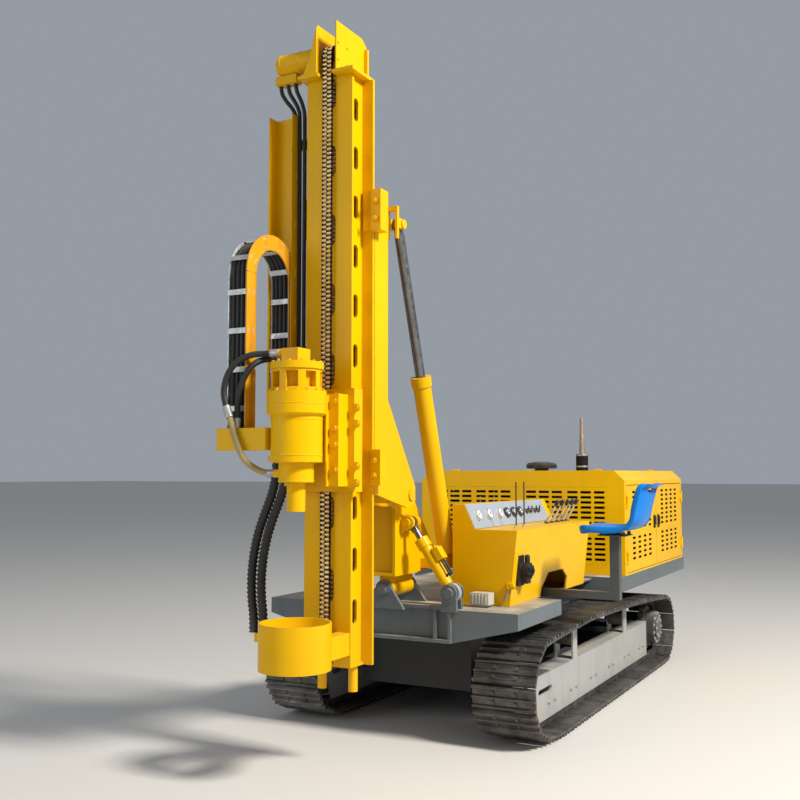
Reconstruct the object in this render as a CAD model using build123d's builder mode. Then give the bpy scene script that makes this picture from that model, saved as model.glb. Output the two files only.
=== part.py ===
from build123d import *
import os
from math import acos, atan2, cos, degrees, hypot, pi, radians, sin, tan

os.makedirs("parts", exist_ok=True)

# Crawler piling rig. Millimetres, +Z up, ground at Z = 0. The mast stands at the front, which
# faces -Y, and the operator's side is +X. The origin is on the ground, midway between the tracks
# and midway along them.

# Driving dimensions.
gap = 5.0               # running gap between sliding pieces
seat_gap = 0.3          # gap between pieces that lie on each other

# tracks
gauge = 1466.0          # between the middles of the tracks
shoe_width = 392.0
shoe_count = 52
plate = 12.0            # thickness of a shoe's plate
grouser = 20.0          # height of a shoe's bars
link_height = 50.0
link_width = 96.0
frame_width = 134.0     # of a track's side frame

# deck
deck_top = 800.0
deck_front = -1825.0
deck_half = 640.0
beam_depth = 215.0      # height of the front cross beam
wing_half = 850.0       # half width over the front wings
wing_length = 760.0
skin = 12.0             # steel plate of the deck and consoles

# engine housing
house_front, house_rear = 415.0, 2412.0
house_half = 870.0
house_base = 815.0
eaves, ridge = 1545.0, 1622.0
wall = 25.0

# mast
mast_half = 150.0
mast_front = -2489.0
mast_depth = 138.0      # from the front flange's face to the rear flange
mast_foot, mast_top = 551.0, 3850.0
flange = 20.0
rear_half = 205.0       # half width of the rear flange
front_slot = (193.0, 84.0, 395.0)     # slots in the front plate: length, width, pitch
side_slot = (134.0, 50.0, 281.5)      # slots in the side webs

# mast joints
tilt_z = 902.0          # sideways tilt pin, on the centre line
luff_y, luff_z = -1885.0, 1470.0
luff_eye = (-2092.0, 3057.0)     # rod eye of the luffing cylinders (Y, Z)
luff_base = (-1413.0, 1051.0)    # their lower pins (Y, Z)
luff_x = 228.0
tilt_eye = (154.0, 1304.0)       # rod eye of the tilting cylinder (X, Z)
tilt_base = (428.0, 897.0)       # its lower pin (X, Z)
tilt_y = -1780.0                 # plane of the tilting cylinder

# hose carrier
loop_x = (-412.0, -270.0)
loop_y, loop_z = -2641.0, 2689.0
loop_out, loop_in = 226.0, 176.0
loop_mid = (loop_x[0] + loop_x[1]) / 2
bracket_top = 1840.0             # where its moving end is held
loop_end = 1700.0                # where its fixed end is held
foot_clamp = 690.0               # where the corrugated hoses end, on the mast's foot
band = 10.0

# rotary head
spindle_y = -2800.0
collar_r, body_r, drum_r = 93.0, 137.0, 158.0
spindle_top, drive_top = 1552.0, 2030.0
spindle_end = 1400.0
spindle_r, bore_r = 49.0, 32.0

# Tracks.
# wheels that the link line runs round, clockwise seen from +X: (Y, Z, radius)
rise = plate + grouser
wheel_r = 268.0
sprocket_r = 248.0
idler_y, idler_z = -1475.0, 325.0
sprocket_y, sprocket_z = 1495.0, 285.0
carrier_r, roller_r = 60.0, 60.0
guides = [
    (idler_y, idler_z, wheel_r),
    (-625.0, 655.0 - rise - carrier_r, carrier_r),
    (625.0, 622.0 - rise - carrier_r, carrier_r),
    (sprocket_y, sprocket_z, sprocket_r),
    (1330.0, rise + roller_r, roller_r),
    (-1310.0, rise + roller_r, roller_r),
]


def belt_segments(wheels):
    """Straight and round stretches of a belt round the wheels, as (length, point function)."""
    normals = []
    for (y0, z0, r0), (y1, z1, r1) in zip(wheels, wheels[1:] + wheels[:1]):
        run = hypot(y1 - y0, z1 - z0)
        normals.append(atan2(z1 - z0, y1 - y0) + acos((r0 - r1) / run))
    found = []
    for i, (y0, z0, r0) in enumerate(wheels):
        y1, z1, r1 = wheels[(i + 1) % len(wheels)]
        start, end = normals[i - 1], normals[i]
        turn = (start - end) % (2 * pi)
        found.append((r0 * turn, y0, z0, r0, start, None))
        n = end
        a = (y0 + r0 * cos(n), z0 + r0 * sin(n))
        b = (y1 + r1 * cos(n), z1 + r1 * sin(n))
        found.append((hypot(b[0] - a[0], b[1] - a[1]), a[0], a[1], 0.0, n, b))
    return found


def belt_point(segments, s):
    """Point (Y, Z) on the belt at distance s along it."""
    total = sum(item[0] for item in segments)
    s %= total
    for length, y0, z0, r0, angle, b in segments:
        if s <= length:
            if b is None:
                now = angle - s / r0
                return y0 + r0 * cos(now), z0 + r0 * sin(now)
            part = s / length
            return y0 + (b[0] - y0) * part, z0 + (b[1] - z0) * part
        s -= length
    return segments[0][1], segments[0][2]


belt = belt_segments(guides)
belt_length = sum(item[0] for item in belt)
pitch = belt_length / shoe_count
joints = [belt_point(belt, i * pitch) for i in range(shoe_count)]

# one shoe's outer profile: (share of the pitch, height over the link line)
shoe_profile = [(0.02, 0.0), (0.04, plate), (0.12, rise), (0.20, plate),
                (0.43, plate), (0.50, rise), (0.57, plate),
                (0.80, plate), (0.88, rise), (0.96, plate), (0.98, 0.0)]


def shoe_points(i, profile):
    """A profile carried onto the i-th shoe of the loop."""
    (ya, za), (yb, zb) = joints[i], joints[(i + 1) % shoe_count]
    run = hypot(yb - ya, zb - za)
    ty, tz = (yb - ya) / run, (zb - za) / run
    return [(ya + ty * t * run - tz * h, za + tz * t * run + ty * h) for t, h in profile]


for side, middle in (("left", gauge / 2), ("right", -gauge / 2)):
    with BuildPart() as track:
        with BuildSketch(Plane.YZ.offset(middle)):
            with BuildLine():
                Polyline([p for i in range(shoe_count) for p in shoe_points(i, shoe_profile)],
                         close=True)
            make_face()
            with BuildLine():
                Polyline([shoe_points(i, [(0.0, -2.0)])[0] for i in range(shoe_count)],
                         close=True)
            make_face(mode=Mode.SUBTRACT)
        extrude(amount=shoe_width / 2, both=True)
        with BuildSketch(Plane.YZ.offset(middle)):
            with BuildLine():
                Polyline([shoe_points(i, [(0.0, 0.0)])[0] for i in range(shoe_count)],
                         close=True)
            make_face()
            with BuildLine():
                Polyline([shoe_points(i, [(0.0, -link_height)])[0] for i in range(shoe_count)],
                         close=True)
            make_face(mode=Mode.SUBTRACT)
        extrude(amount=link_width / 2, both=True)
    track.part.label = f"track_{side}"
    export_step(track.part, f"parts/track_{side}.step")

# Side frames, wheels and cross beams.
frame_low, frame_high = rise + link_height + 3.0, 362.0
idler_rim = (wheel_r**2 - (pitch / 2)**2)**0.5 - link_height - gap
sprocket_rim = (sprocket_r**2 - (pitch / 2)**2)**0.5 - link_height - gap
frame_start = idler_y + 60.0
frame_end = sprocket_y - sprocket_rim - 30.0
bottom_rollers = 6
axle_r = 28.0
fork = 16.0

for side, middle in (("left", gauge / 2), ("right", -gauge / 2)):
    with BuildPart() as side_frame:
        # a box girder, open below over the rollers
        with Locations((middle, (frame_start + 330 + frame_end) / 2, (frame_low + frame_high) / 2)):
            Box(frame_width, frame_end - frame_start - 330, frame_high - frame_low)
        # fork at the front that carries the idler's axle
        for edge in (-1, 1):
            with BuildSketch(Plane.YZ.offset(middle + edge * (frame_width / 2 - fork / 2))):
                with BuildLine():
                    Polyline((idler_y - 45, idler_z - 40), (idler_y - 45, frame_high),
                             (frame_start + 345, frame_high), (frame_start + 345, frame_low),
                             (frame_start + 60, frame_low), (frame_start, idler_z - 40),
                             close=True)
                make_face()
                with Locations((frame_start + 190, 262)):
                    SlotOverall(240, 34, mode=Mode.SUBTRACT)
            extrude(amount=fork / 2, both=True)
        # brackets of the two carrier rollers
        for y, z, r in guides[1:3]:
            for edge in (-1, 1):
                with Locations((middle + edge * (frame_width / 2 - 6), y,
                                (z + 30 + frame_high) / 2)):
                    Box(12, 90, z + 30 - frame_high)
        # pockets for the rollers
        for i in range(bottom_rollers):
            y = -1110 + i * 440
            with Locations((middle, y, rise + link_height + roller_r)):
                Box(frame_width - 24, 2 * roller_r + 16, 2 * roller_r + 16, mode=Mode.SUBTRACT)
    side_frame.part.label = f"track_frame_{side}"
    export_step(side_frame.part, f"parts/track_frame_{side}.step")

with BuildPart() as idlers:
    for middle in (gauge / 2, -gauge / 2):
        with BuildSketch(Plane.YZ.offset(middle)):
            with Locations((idler_y, idler_z)):
                Circle(idler_rim)
        extrude(amount=link_width / 2 - 8, both=True)
        with BuildSketch(Plane.YZ.offset(middle)):
            with Locations((idler_y, idler_z)):
                Circle(axle_r)
        extrude(amount=frame_width / 2 - fork - seat_gap, both=True)
idlers.part.label = "idler_wheels"
export_step(idlers.part, "parts/idler_wheels.step")

teeth = 19
with BuildPart() as sprockets:
    for middle in (gauge / 2, -gauge / 2):
        with BuildSketch(Plane.YZ.offset(middle)):
            with BuildLine():
                Polyline([(sprocket_y + r * cos(radians(a)), sprocket_z + r * sin(radians(a)))
                          for i in range(teeth)
                          for r, a in ((sprocket_rim, i * 360 / teeth),
                                       (sprocket_rim, (i + 0.35) * 360 / teeth),
                                       (sprocket_rim - 22, (i + 0.67) * 360 / teeth))],
                         close=True)
            make_face()
        extrude(amount=24, both=True)
        outward = 1 if middle > 0 else -1
        with BuildSketch(Plane.YZ.offset(middle + outward * 60)):
            with Locations((sprocket_y, sprocket_z)):
                Circle(135)
        extrude(amount=48, both=True)
        with BuildSketch(Plane.YZ.offset(middle + outward * 60)):
            with Locations((sprocket_y, sprocket_z)):
                Circle(98)
        extrude(amount=62, both=True)
sprockets.part.label = "drive_sprockets"
export_step(sprockets.part, "parts/drive_sprockets.step")

with BuildPart() as rollers:
    for middle in (gauge / 2, -gauge / 2):
        for i in range(bottom_rollers):
            with BuildSketch(Plane.YZ.offset(middle)):
                with Locations((-1110 + i * 440, rise + link_height + roller_r + seat_gap)):
                    Circle(roller_r)
            extrude(amount=frame_width / 2 - 12, both=True)
        for y, z, r in guides[1:3]:
            with BuildSketch(Plane.YZ.offset(middle)):
                with Locations((y, z - link_height - gap)):
                    Circle(r)
            extrude(amount=frame_width / 2 - 12, both=True)
rollers.part.label = "track_rollers"
export_step(rollers.part, "parts/track_rollers.step")

frame_inside = gauge / 2 - frame_width / 2
with BuildPart() as chassis:
    for y in (-800.0, 700.0):
        with Locations((0, y, 290)):
            Box(2 * frame_inside, 260, 140)
    with Locations((0, -50, 425)):
        Box(760, 2700, 360)
    with Locations((0, -50, 425)):
        Box(700, 2640, 330, mode=Mode.SUBTRACT)
    # final drive gearboxes reach in from the sprockets
    for edge in (-1, 1):
        with Locations((edge * (gauge / 2 - 24 - 150), sprocket_y, sprocket_z)):
            Cylinder(120, 300, rotation=(0, 90, 0))
        with Locations((edge * (frame_inside - 60), (sprocket_y + 1180) / 2, sprocket_z)):
            Box(120, sprocket_y - 1180, 150)
        with Locations((edge * (frame_inside - 20) / 2, 1180, sprocket_z + 20)):
            Box(frame_inside - 20, 200, 110)
chassis.part.label = "chassis_beams"
export_step(chassis.part, "parts/chassis_beams.step")

# Deck.
beam_top = deck_top + 20
beam_low = beam_top - beam_depth
beam_half = 434.0
rear_low = house_base - 110
deck_rear = house_rear + 50
pin_r = 30.0
lug = 22.0              # thickness of the pins' lugs
lug_in = 22.0           # half the space between a pair of lugs

with BuildPart() as deck:
    # front cross beam, an I section with plates across its ends
    with Locations((0, deck_front + 50, beam_top - 10), (0, deck_front + 50, beam_low + 10)):
        Box(2 * beam_half, 100, 20)
    with Locations((0, deck_front + 50, (beam_top + beam_low) / 2)):
        Box(2 * beam_half, 20, beam_depth)
    with Locations(*[(e * x, deck_front + 50, (beam_top + beam_low) / 2)
                     for e in (-1, 1) for x in (beam_half - 10, beam_half - 105)]):
        Box(20, 92, beam_depth)
    # tapered wings
    for e in (-1, 1):
        with BuildSketch(Plane.XZ.offset(-(deck_front + 20))):
            with BuildLine():
                Polyline((e * beam_half, beam_low), (e * beam_half, deck_top),
                         (e * wing_half, deck_top), (e * wing_half, 705), close=True)
            make_face()
        extrude(amount=-skin)
        with Locations((e * (beam_half + wing_half) / 2, deck_front + 20 + wing_length / 2,
                        deck_top - skin / 2)):
            Box(wing_half - beam_half, wing_length, skin)
        with Locations((e * (wing_half - skin / 2), deck_front + 20 + wing_length / 2,
                        (deck_top + 705) / 2)):
            Box(skin, wing_length, deck_top - 705)
    # long beams and deck plate
    for e in (-1, 1):
        with Locations((e * 400, (deck_front + 60 + 1500) / 2, (beam_low + deck_top) / 2)):
            Box(90, 1500 - deck_front - 60, deck_top - beam_low)
    with Locations((0, (deck_front + 90 + house_front - 120) / 2, deck_top - skin / 2)):
        Box(2 * deck_half, house_front - 120 - deck_front - 90, skin)
    # rear platform
    with Locations((0, (house_front - 130 + deck_rear) / 2, (rear_low + house_base) / 2)):
        Box(2 * house_half, deck_rear - house_front + 130, house_base - rear_low)
    with Locations((0, (house_front - 130 + deck_rear) / 2, (rear_low + house_base) / 2 - skin)):
        Box(2 * house_half - 140, deck_rear - house_front - 10, house_base - rear_low,
            mode=Mode.SUBTRACT)
    # lugs and pin of the sideways tilt
    for y in (deck_front - 25, deck_front + 290):
        with BuildSketch(Plane.XZ.offset(-y)):
            with BuildLine():
                Polyline((-140, deck_top - skin), (-52, tilt_z + 12), (52, tilt_z + 12),
                         (140, deck_top - skin), close=True)
            make_face()
            with Locations((0, tilt_z)):
                Circle(54)
        extrude(amount=-lug)
    with BuildSketch(Plane.XZ.offset(-(deck_front - 55))):
        with Locations((0, tilt_z)):
            Circle(pin_r)
    extrude(amount=-380)
    # lugs of the tilting cylinder
    for y in (tilt_y - lug_in - lug, tilt_y + lug_in):
        with BuildSketch(Plane.XZ.offset(-y)):
            with BuildLine():
                Polyline((tilt_base[0] - 60, deck_top - skin), (tilt_base[0] - 40, tilt_base[1] + 8),
                         (tilt_base[0] + 40, tilt_base[1] + 8),
                         (tilt_base[0] + 48, deck_top - skin), close=True)
            make_face()
            with Locations(tilt_base):
                Circle(42)
        extrude(amount=-lug)
    with BuildSketch(Plane.XZ.offset(-(tilt_y - 65))):
        with Locations(tilt_base):
            Circle(18)
    extrude(amount=-130)
deck.part.label = "deck_frame"
export_step(deck.part, "parts/deck_frame.step")

# Engine housing.
roof_half = house_half - 80
house_mid = (house_front + house_rear) / 2
door_low, door_high = house_base + 20, eaves - 40
door_split = (house_front + house_rear) / 2
hinge_r, hinge_pin = 9.0, 5.0
hinge_x = house_half + hinge_r + 0.5
hinge_levels = (door_low + 120, door_high - 120)
vent = (84.0, 19.0)                   # a ventilation slot
slot_rows = ([1452 - i * 39.5 for i in range(8)] + [1092 - i * 40 for i in range(5)])
grille_half, grille_low, grille_high = 720.0, 890.0, 1490.0
grille_groups = (-563.0, -218.0, 218.0, 563.0)
doors = [  # name, hinge Y, free edge Y
    ("front", house_front + 60, door_split - 6),
    ("rear", house_rear - 50, door_split + 6),
]
with BuildPart() as housing:
    with BuildSketch(Plane.XZ.offset(-house_front)):
        with BuildLine():
            Polyline((-house_half, house_base + seat_gap), (-house_half, eaves), (-roof_half, ridge),
                     (roof_half, ridge), (house_half, eaves), (house_half, house_base + seat_gap),
                     close=True)
        make_face()
    extrude(amount=-(house_rear - house_front))
    with BuildSketch(Plane.XZ.offset(-(house_front + wall))):
        with BuildLine():
            Polyline((-house_half + wall, house_base), (-house_half + wall, eaves - 12),
                     (-roof_half + 12, ridge - wall), (roof_half - 12, ridge - wall),
                     (house_half - wall, eaves - 12), (house_half - wall, house_base), close=True)
        make_face()
    extrude(amount=-(house_rear - house_front - 2 * wall), mode=Mode.SUBTRACT)
    for e in (-1, 1):
        for name, hinge, free in doors:
            with Locations((e * (house_half - wall / 2), (hinge + free) / 2,
                            (door_low + door_high) / 2)):
                Box(wall + 10, abs(free - hinge) + 2 * gap, door_high - door_low + 2 * gap,
                    mode=Mode.SUBTRACT)
            # hinge pins and the lugs that hold them above and below the doors' knuckles
            out = 1 if free > hinge else -1
            for z in hinge_levels:
                with Locations((e * hinge_x, hinge - out * gap / 2, z)):
                    Cylinder(hinge_pin, 80)
                for step in (-1, 1):
                    with Locations((e * hinge_x, hinge - out * gap / 2, z + step * 40)):
                        Cylinder(hinge_r, 20)
                    with Locations((e * (house_half + 2.5), hinge - out * (gap + 15), z + step * 40)):
                        Box(7, 38, 20)
    with Locations((0, house_front + wall / 2, (grille_low + grille_high) / 2)):
        Box(2 * grille_half + 2 * seat_gap, wall + 2, grille_high - grille_low + 2 * seat_gap,
            mode=Mode.SUBTRACT)
housing.part.label = "engine_housing"
export_step(housing.part, "parts/engine_housing.step")

for side, e in (("left", 1), ("right", -1)):
    for name, hinge, free in doors:
        with BuildPart() as door:
            with Locations((e * (house_half - wall / 2), (hinge + free) / 2,
                            (door_low + door_high) / 2)):
                Box(wall, abs(free - hinge), door_high - door_low)
            out = 1 if free > hinge else -1
            for z in hinge_levels:
                with Locations((e * (house_half + 2.5), hinge + out * 20, z)):
                    Box(7, 40, 60 - 2 * seat_gap)
                with Locations((e * hinge_x, hinge - out * gap / 2, z)):
                    Cylinder(hinge_r, 60 - 2 * seat_gap)
                    Cylinder(hinge_pin + 0.1, 60, mode=Mode.SUBTRACT)
            with BuildSketch(Plane.YZ.offset(e * house_half)):
                with Locations(*[((hinge + free) / 2 + dy, z) for dy in (-255, -85, 85, 255)
                                 for z in slot_rows]):
                    Rectangle(*vent)
            extrude(amount=-e * (wall + 1), mode=Mode.SUBTRACT)
        door.part.label = f"housing_door_{side}_{name}"
        export_step(door.part, f"parts/housing_door_{side}_{name}.step")

with BuildPart() as grille:
    with Locations((0, house_front + wall / 2, (grille_low + grille_high) / 2)):
        Box(2 * grille_half, wall, grille_high - grille_low)
    with BuildSketch(Plane.XZ.offset(-(house_front - 1))):
        with Locations(*[(x + dx, z) for x in grille_groups for dx in (-108, 0, 108)
                         for z in slot_rows]):
            Rectangle(*vent)
    extrude(amount=-(wall + 2), mode=Mode.SUBTRACT)
grille.part.label = "housing_front_grille"
export_step(grille.part, "parts/housing_front_grille.step")

with BuildPart() as engine:
    with Locations((0, house_mid + 150, house_base + seat_gap + 330)):
        Box(760, 1300, 660)
engine.part.label = "engine_block"
export_step(engine.part, "parts/engine_block.step")

stack_y = house_front + 310
with BuildPart() as exhaust:
    with Locations((440, stack_y, ridge + seat_gap)):
        Cylinder(49, 136, align=(Align.CENTER, Align.CENTER, Align.MIN))
    with Locations((440, stack_y, ridge + seat_gap + 136)):
        Cone(22, 13, 294, align=(Align.CENTER, Align.CENTER, Align.MIN))
exhaust.part.label = "exhaust_stack"
export_step(exhaust.part, "parts/exhaust_stack.step")

with BuildPart() as intake:
    with BuildSketch(Plane.XZ.offset(-stack_y)):
        with BuildLine():
            Polyline([(91 + r, ridge + seat_gap + h)
                      for r, h in ((0, 0), (58, 0), (58, 18), (120, 18), (127, 26), (127, 48),
                                   (112, 64), (60, 74), (0, 76))], close=True)
        make_face()
    revolve(axis=Axis((91, stack_y, 0), (0, 0, 1)))
intake.part.label = "intake_cap"
export_step(intake.part, "parts/intake_cap.step")

# Control console.
console_front, console_rear = -1530.0, -75.0
console_in, console_out = 315.0, 742.0
console_foot = 690.0                 # the outer side leans in to this at the deck
ledge_z, panel_z = 1256.0, 1408.0
arch_front, arch_rear = -1000.0, -480.0
with BuildPart() as console:
    with BuildSketch(Plane.XZ.offset(-console_front)):
        with BuildLine():
            Polyline((console_in, deck_top + seat_gap), (console_in, panel_z),
                     (console_in + 80, panel_z), (console_in + 150, ledge_z),
                     (console_out, ledge_z), (console_foot, deck_top + seat_gap), close=True)
        make_face()
    extrude(amount=-(console_rear - console_front))
    with BuildSketch(Plane.XZ.offset(-(console_front + skin))):
        with BuildLine():
            Polyline((console_in + skin, deck_top), (console_in + skin, panel_z - skin),
                     (console_in + 72, panel_z - skin), (console_in + 142, ledge_z - skin),
                     (console_out - skin - 2, ledge_z - skin), (console_foot - skin, deck_top),
                     close=True)
        make_face()
    extrude(amount=-(console_rear - console_front - 2 * skin), mode=Mode.SUBTRACT)
    # service arch in the outer side
    with BuildSketch(Plane.YZ.offset(console_foot - 40)):
        with BuildLine():
            Polyline((arch_front, deck_top - 1), (arch_front + 15, 860), (arch_front + 120, 950),
                     (arch_rear - 110, 950), (arch_rear, 890), (arch_rear, deck_top - 1),
                     close=True)
        make_face()
    extrude(amount=90, mode=Mode.SUBTRACT)
console.part.label = "control_console"
export_step(console.part, "parts/control_console.step")

with BuildPart() as levers:
    for y in (-1260.0, -1120.0):
        with Locations((console_out - 110, y, ledge_z + seat_gap)):
            Cylinder(6, 290, align=(Align.CENTER, Align.CENTER, Align.MIN))
    for y in (-560.0, -480.0, -330.0, -250.0, -170.0):
        with Locations(Location((console_out - 110, y, ledge_z + seat_gap), (0, 0, 0))):
            Cylinder(12, 14, align=(Align.CENTER, Align.CENTER, Align.MIN))
        with Locations(Location((console_out - 110, y, ledge_z + 8), (-22, 0, 0))):
            Cylinder(6, 140, align=(Align.CENTER, Align.CENTER, Align.MIN))
        with Locations(Location((console_out - 110, y, ledge_z + 8), (-22, 0, 0))):
            with Locations((0, 0, 138)):
                Cylinder(17, 32, align=(Align.CENTER, Align.CENTER, Align.MIN))
levers.part.label = "control_levers"
export_step(levers.part, "parts/control_levers.step")

with BuildPart() as valve:
    low, high = [(console_foot + seat_gap + (z - deck_top) / (ledge_z - deck_top)
                  * (console_out - console_foot), z) for z in (915.0, 1105.0)]
    with BuildSketch(Plane.XZ.offset(-(console_front + 60))):
        with BuildLine():
            Polyline(low, high, (high[0] + 85, high[1]), (high[0] + 85, low[1]), close=True)
        make_face()
    extrude(amount=-130)
valve.part.label = "console_valve"
export_step(valve.part, "parts/console_valve.step")

with BuildPart() as tool_box:
    with Locations((540, console_front - 70, deck_top + seat_gap + 50)):
        Box(120, 90, 70)
    with Locations((540, console_front - 70, deck_top + seat_gap + 8)):
        Box(60, 60, 16)
tool_box.part.label = "deck_box"
export_step(tool_box.part, "parts/deck_box.step")

# Seat.
post_x, post_y = 1165.0, -905.0
seat_z = 1205.0
beam_start = 560.0
with BuildPart() as seat_post:
    with Locations(((beam_start + post_x + 30) / 2, post_y, deck_top + seat_gap + 25)):
        Box(post_x + 30 - beam_start, 60, 50)
    with Locations((post_x, post_y, (deck_top + seat_z) / 2)):
        Box(60, 60, seat_z - deck_top - 2 * seat_gap)
seat_post.part.label = "seat_post"
export_step(seat_post.part, "parts/seat_post.step")

seat_half = 205.0
with BuildPart() as seat:
    with BuildSketch(Plane.XZ.offset(-(post_y - seat_half))):
        with BuildLine():
            Polyline((955, seat_z + 62), (965, seat_z + 32), (1040, seat_z), (1340, seat_z),
                     (1390, seat_z + 22), (1415, seat_z + 80), (1455, seat_z + 335),
                     (1418, seat_z + 335), (1376, seat_z + 105), (1350, seat_z + 58),
                     (1300, seat_z + 38), (1100, seat_z + 40), (985, seat_z + 74), close=True)
        make_face()
    extrude(amount=-2 * seat_half)
    # rounded corners of the pan and of the back, and the hand slot in the back
    with BuildSketch(Plane.XY.offset(seat_z - 10)):
        with Locations((1220, post_y)):
            RectangleRounded(530, 2 * seat_half, 80)
    extrude(amount=400, mode=Mode.INTERSECT)
    with BuildSketch(Plane.YZ.offset(900)):
        with Locations((post_y, seat_z + 335 - 300)):
            RectangleRounded(2 * seat_half, 600, 100)
    extrude(amount=700, mode=Mode.INTERSECT)
    with BuildSketch(Plane.YZ.offset(1380)):
        with Locations((post_y, seat_z + 290)):
            SlotOverall(170, 26)
    extrude(amount=120, mode=Mode.SUBTRACT)
seat.part.label = "operator_seat"
export_step(seat.part, "parts/operator_seat.step")

# Tilting frame.
tilt_half = 105.0
tilt_front, tilt_back = -1894.0, -1595.0
with BuildPart() as tilt_frame:
    for e in (-1, 1):
        with BuildSketch(Plane.YZ.offset(e * (tilt_half - 10))):
            with BuildLine():
                Polyline((tilt_front, 990), (tilt_back, 990), (luff_base[0] + 40, 1000),
                         (luff_base[0] + 55, 1110), (-1680, 1480), (-1800, 1560), (-1950, 1545),
                         (-1950, 1440), (tilt_front, 1390), close=True)
            make_face()
        extrude(amount=10, both=True)
    with Locations((0, (tilt_front + tilt_back) / 2, 995)):
        Box(2 * tilt_half, tilt_back - tilt_front, 20)
    with Locations((0, tilt_front + 40, 1200)):
        Box(2 * tilt_half - 20, 16, 400)
    # hub on the tilt pin
    with BuildSketch(Plane.XZ.offset(-(deck_front + gap))):
        with Locations((0, tilt_z)):
            Circle(52)
            Circle(pin_r + 1, mode=Mode.SUBTRACT)
        with Locations((0, 968)):
            Rectangle(80, 56)
        with Locations((0, tilt_z)):
            Circle(pin_r + 1, mode=Mode.SUBTRACT)
    extrude(amount=-(290 - 2 * gap))
    # luffing pin
    with BuildSketch(Plane.YZ):
        with Locations((luff_y, luff_z)):
            Circle(50)
    extrude(amount=tilt_half, both=True)
    with BuildSketch(Plane.YZ):
        with Locations((luff_y, luff_z)):
            Circle(pin_r)
    extrude(amount=rear_half + 12, both=True)
    # cross beam and lugs of the luffing cylinders
    with Locations((0, luff_base[0] - 110, luff_base[1] - 11)):
        Box(2 * luff_x + 74, 70, 60)
    for e in (-1, 1):
        for x in (luff_x - 29, luff_x + 29):
            with BuildSketch(Plane.YZ.offset(e * x)):
                with Locations(luff_base):
                    Circle(48)
                with Locations((luff_base[0] - 60, luff_base[1] - 11)):
                    Rectangle(120, 60)
            extrude(amount=8, both=True)
        with BuildSketch(Plane.YZ.offset(e * luff_x)):
            with Locations(luff_base):
                Circle(24)
        extrude(amount=44, both=True)
    # clevis of the tilting cylinder's rod
    for y in (tilt_y - lug_in - lug, tilt_y + lug_in):
        with BuildSketch(Plane.XZ.offset(-y)):
            with BuildLine():
                Polyline((tilt_half - 5, tilt_eye[1] - 70), (tilt_half - 5, tilt_eye[1] + 50),
                         (tilt_eye[0], tilt_eye[1] + 38), (tilt_eye[0], tilt_eye[1] - 38),
                         close=True)
            make_face()
            with Locations(tilt_eye):
                Circle(38)
        extrude(amount=-lug)
    with BuildSketch(Plane.XZ.offset(-(tilt_y - 65))):
        with Locations(tilt_eye):
            Circle(15)
    extrude(amount=-130)
tilt_frame.part.label = "tilt_frame"
export_step(tilt_frame.part, "parts/tilt_frame.step")

# Luffing carrier.
carrier_front = mast_front + mast_depth + flange + gap      # just behind the mast's rear flange
column_back = -2169.0
guide_levels = [(1534.0, 1732.0), (2967.0, 3202.0)]
with BuildPart() as carrier:
    for e in (-1, 1):
        with BuildSketch(Plane.YZ.offset(e * (rear_half - 10))):
            with BuildLine():
                Polyline((carrier_front, guide_levels[1][1]), (carrier_front, 1485),
                         (-1930, 1398), (-1860, 1398), (-1822, 1440), (-1822, 1520),
                         (column_back, 2022), (column_back, guide_levels[1][1]), close=True)
            make_face()
            with Locations((luff_y, luff_z)):
                Circle(pin_r + 1, mode=Mode.SUBTRACT)
        extrude(amount=10, both=True)
    with Locations((0, column_back - 10, (1650 + guide_levels[1][1]) / 2)):
        Box(2 * rear_half - 30, 20, guide_levels[1][1] - 1650)
    with Locations((0, carrier_front + 10, (1500 + guide_levels[1][1]) / 2)):
        Box(2 * rear_half - 30, 20, guide_levels[1][1] - 1500)
    # guide blocks that grip the edges of the mast's rear flange
    for low, high in guide_levels:
        for e, width in ((-1, 44), (1, 64)):
            with Locations((e * (rear_half + seat_gap + width / 2), mast_front + mast_depth + 20,
                            (low + high) / 2)):
                Box(width, 90, high - low)
            with Locations((e * (rear_half + 4), carrier_front + 20 - gap + seat_gap,
                            (low + high) / 2)):
                Box(50, 40, high - low)
            with Locations((e * (mast_half + gap + 46), mast_front + mast_depth - seat_gap - 10,
                            (low + high) / 2)):
                Box(92, 20, high - low)
    # rod eyes' clevises, with lugs low enough to clear the rods' ends
    lug_r = 29.0
    with Locations((0, column_back + 12, luff_eye[1])):
        Box(2 * luff_x + 74, 24, 190)
    with Locations((luff_x, column_back + 12, luff_eye[1] - 14),
                   (-luff_x, column_back + 12, luff_eye[1] - 14)):
        Box(46, 24, 164, mode=Mode.SUBTRACT)
    for e in (-1, 1):
        for x in (luff_x - 29, luff_x + 29):
            with BuildSketch(Plane.YZ.offset(e * x)):
                with Locations(luff_eye):
                    Circle(lug_r)
                with Locations(((luff_eye[0] + column_back) / 2, luff_eye[1])):
                    Rectangle(luff_eye[0] - column_back, 2 * lug_r)
            extrude(amount=8, both=True)
            # pin heads; the pin between them goes with the rod's eye
            with Locations((e * (luff_x + (x - luff_x) * 41 / 29), *luff_eye)):
                Cylinder(20, 8, rotation=(0, 90, 0))
carrier.part.label = "luff_carrier"
export_step(carrier.part, "parts/luff_carrier.step")

# Cylinders.
bore_gap = 1.0


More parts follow.
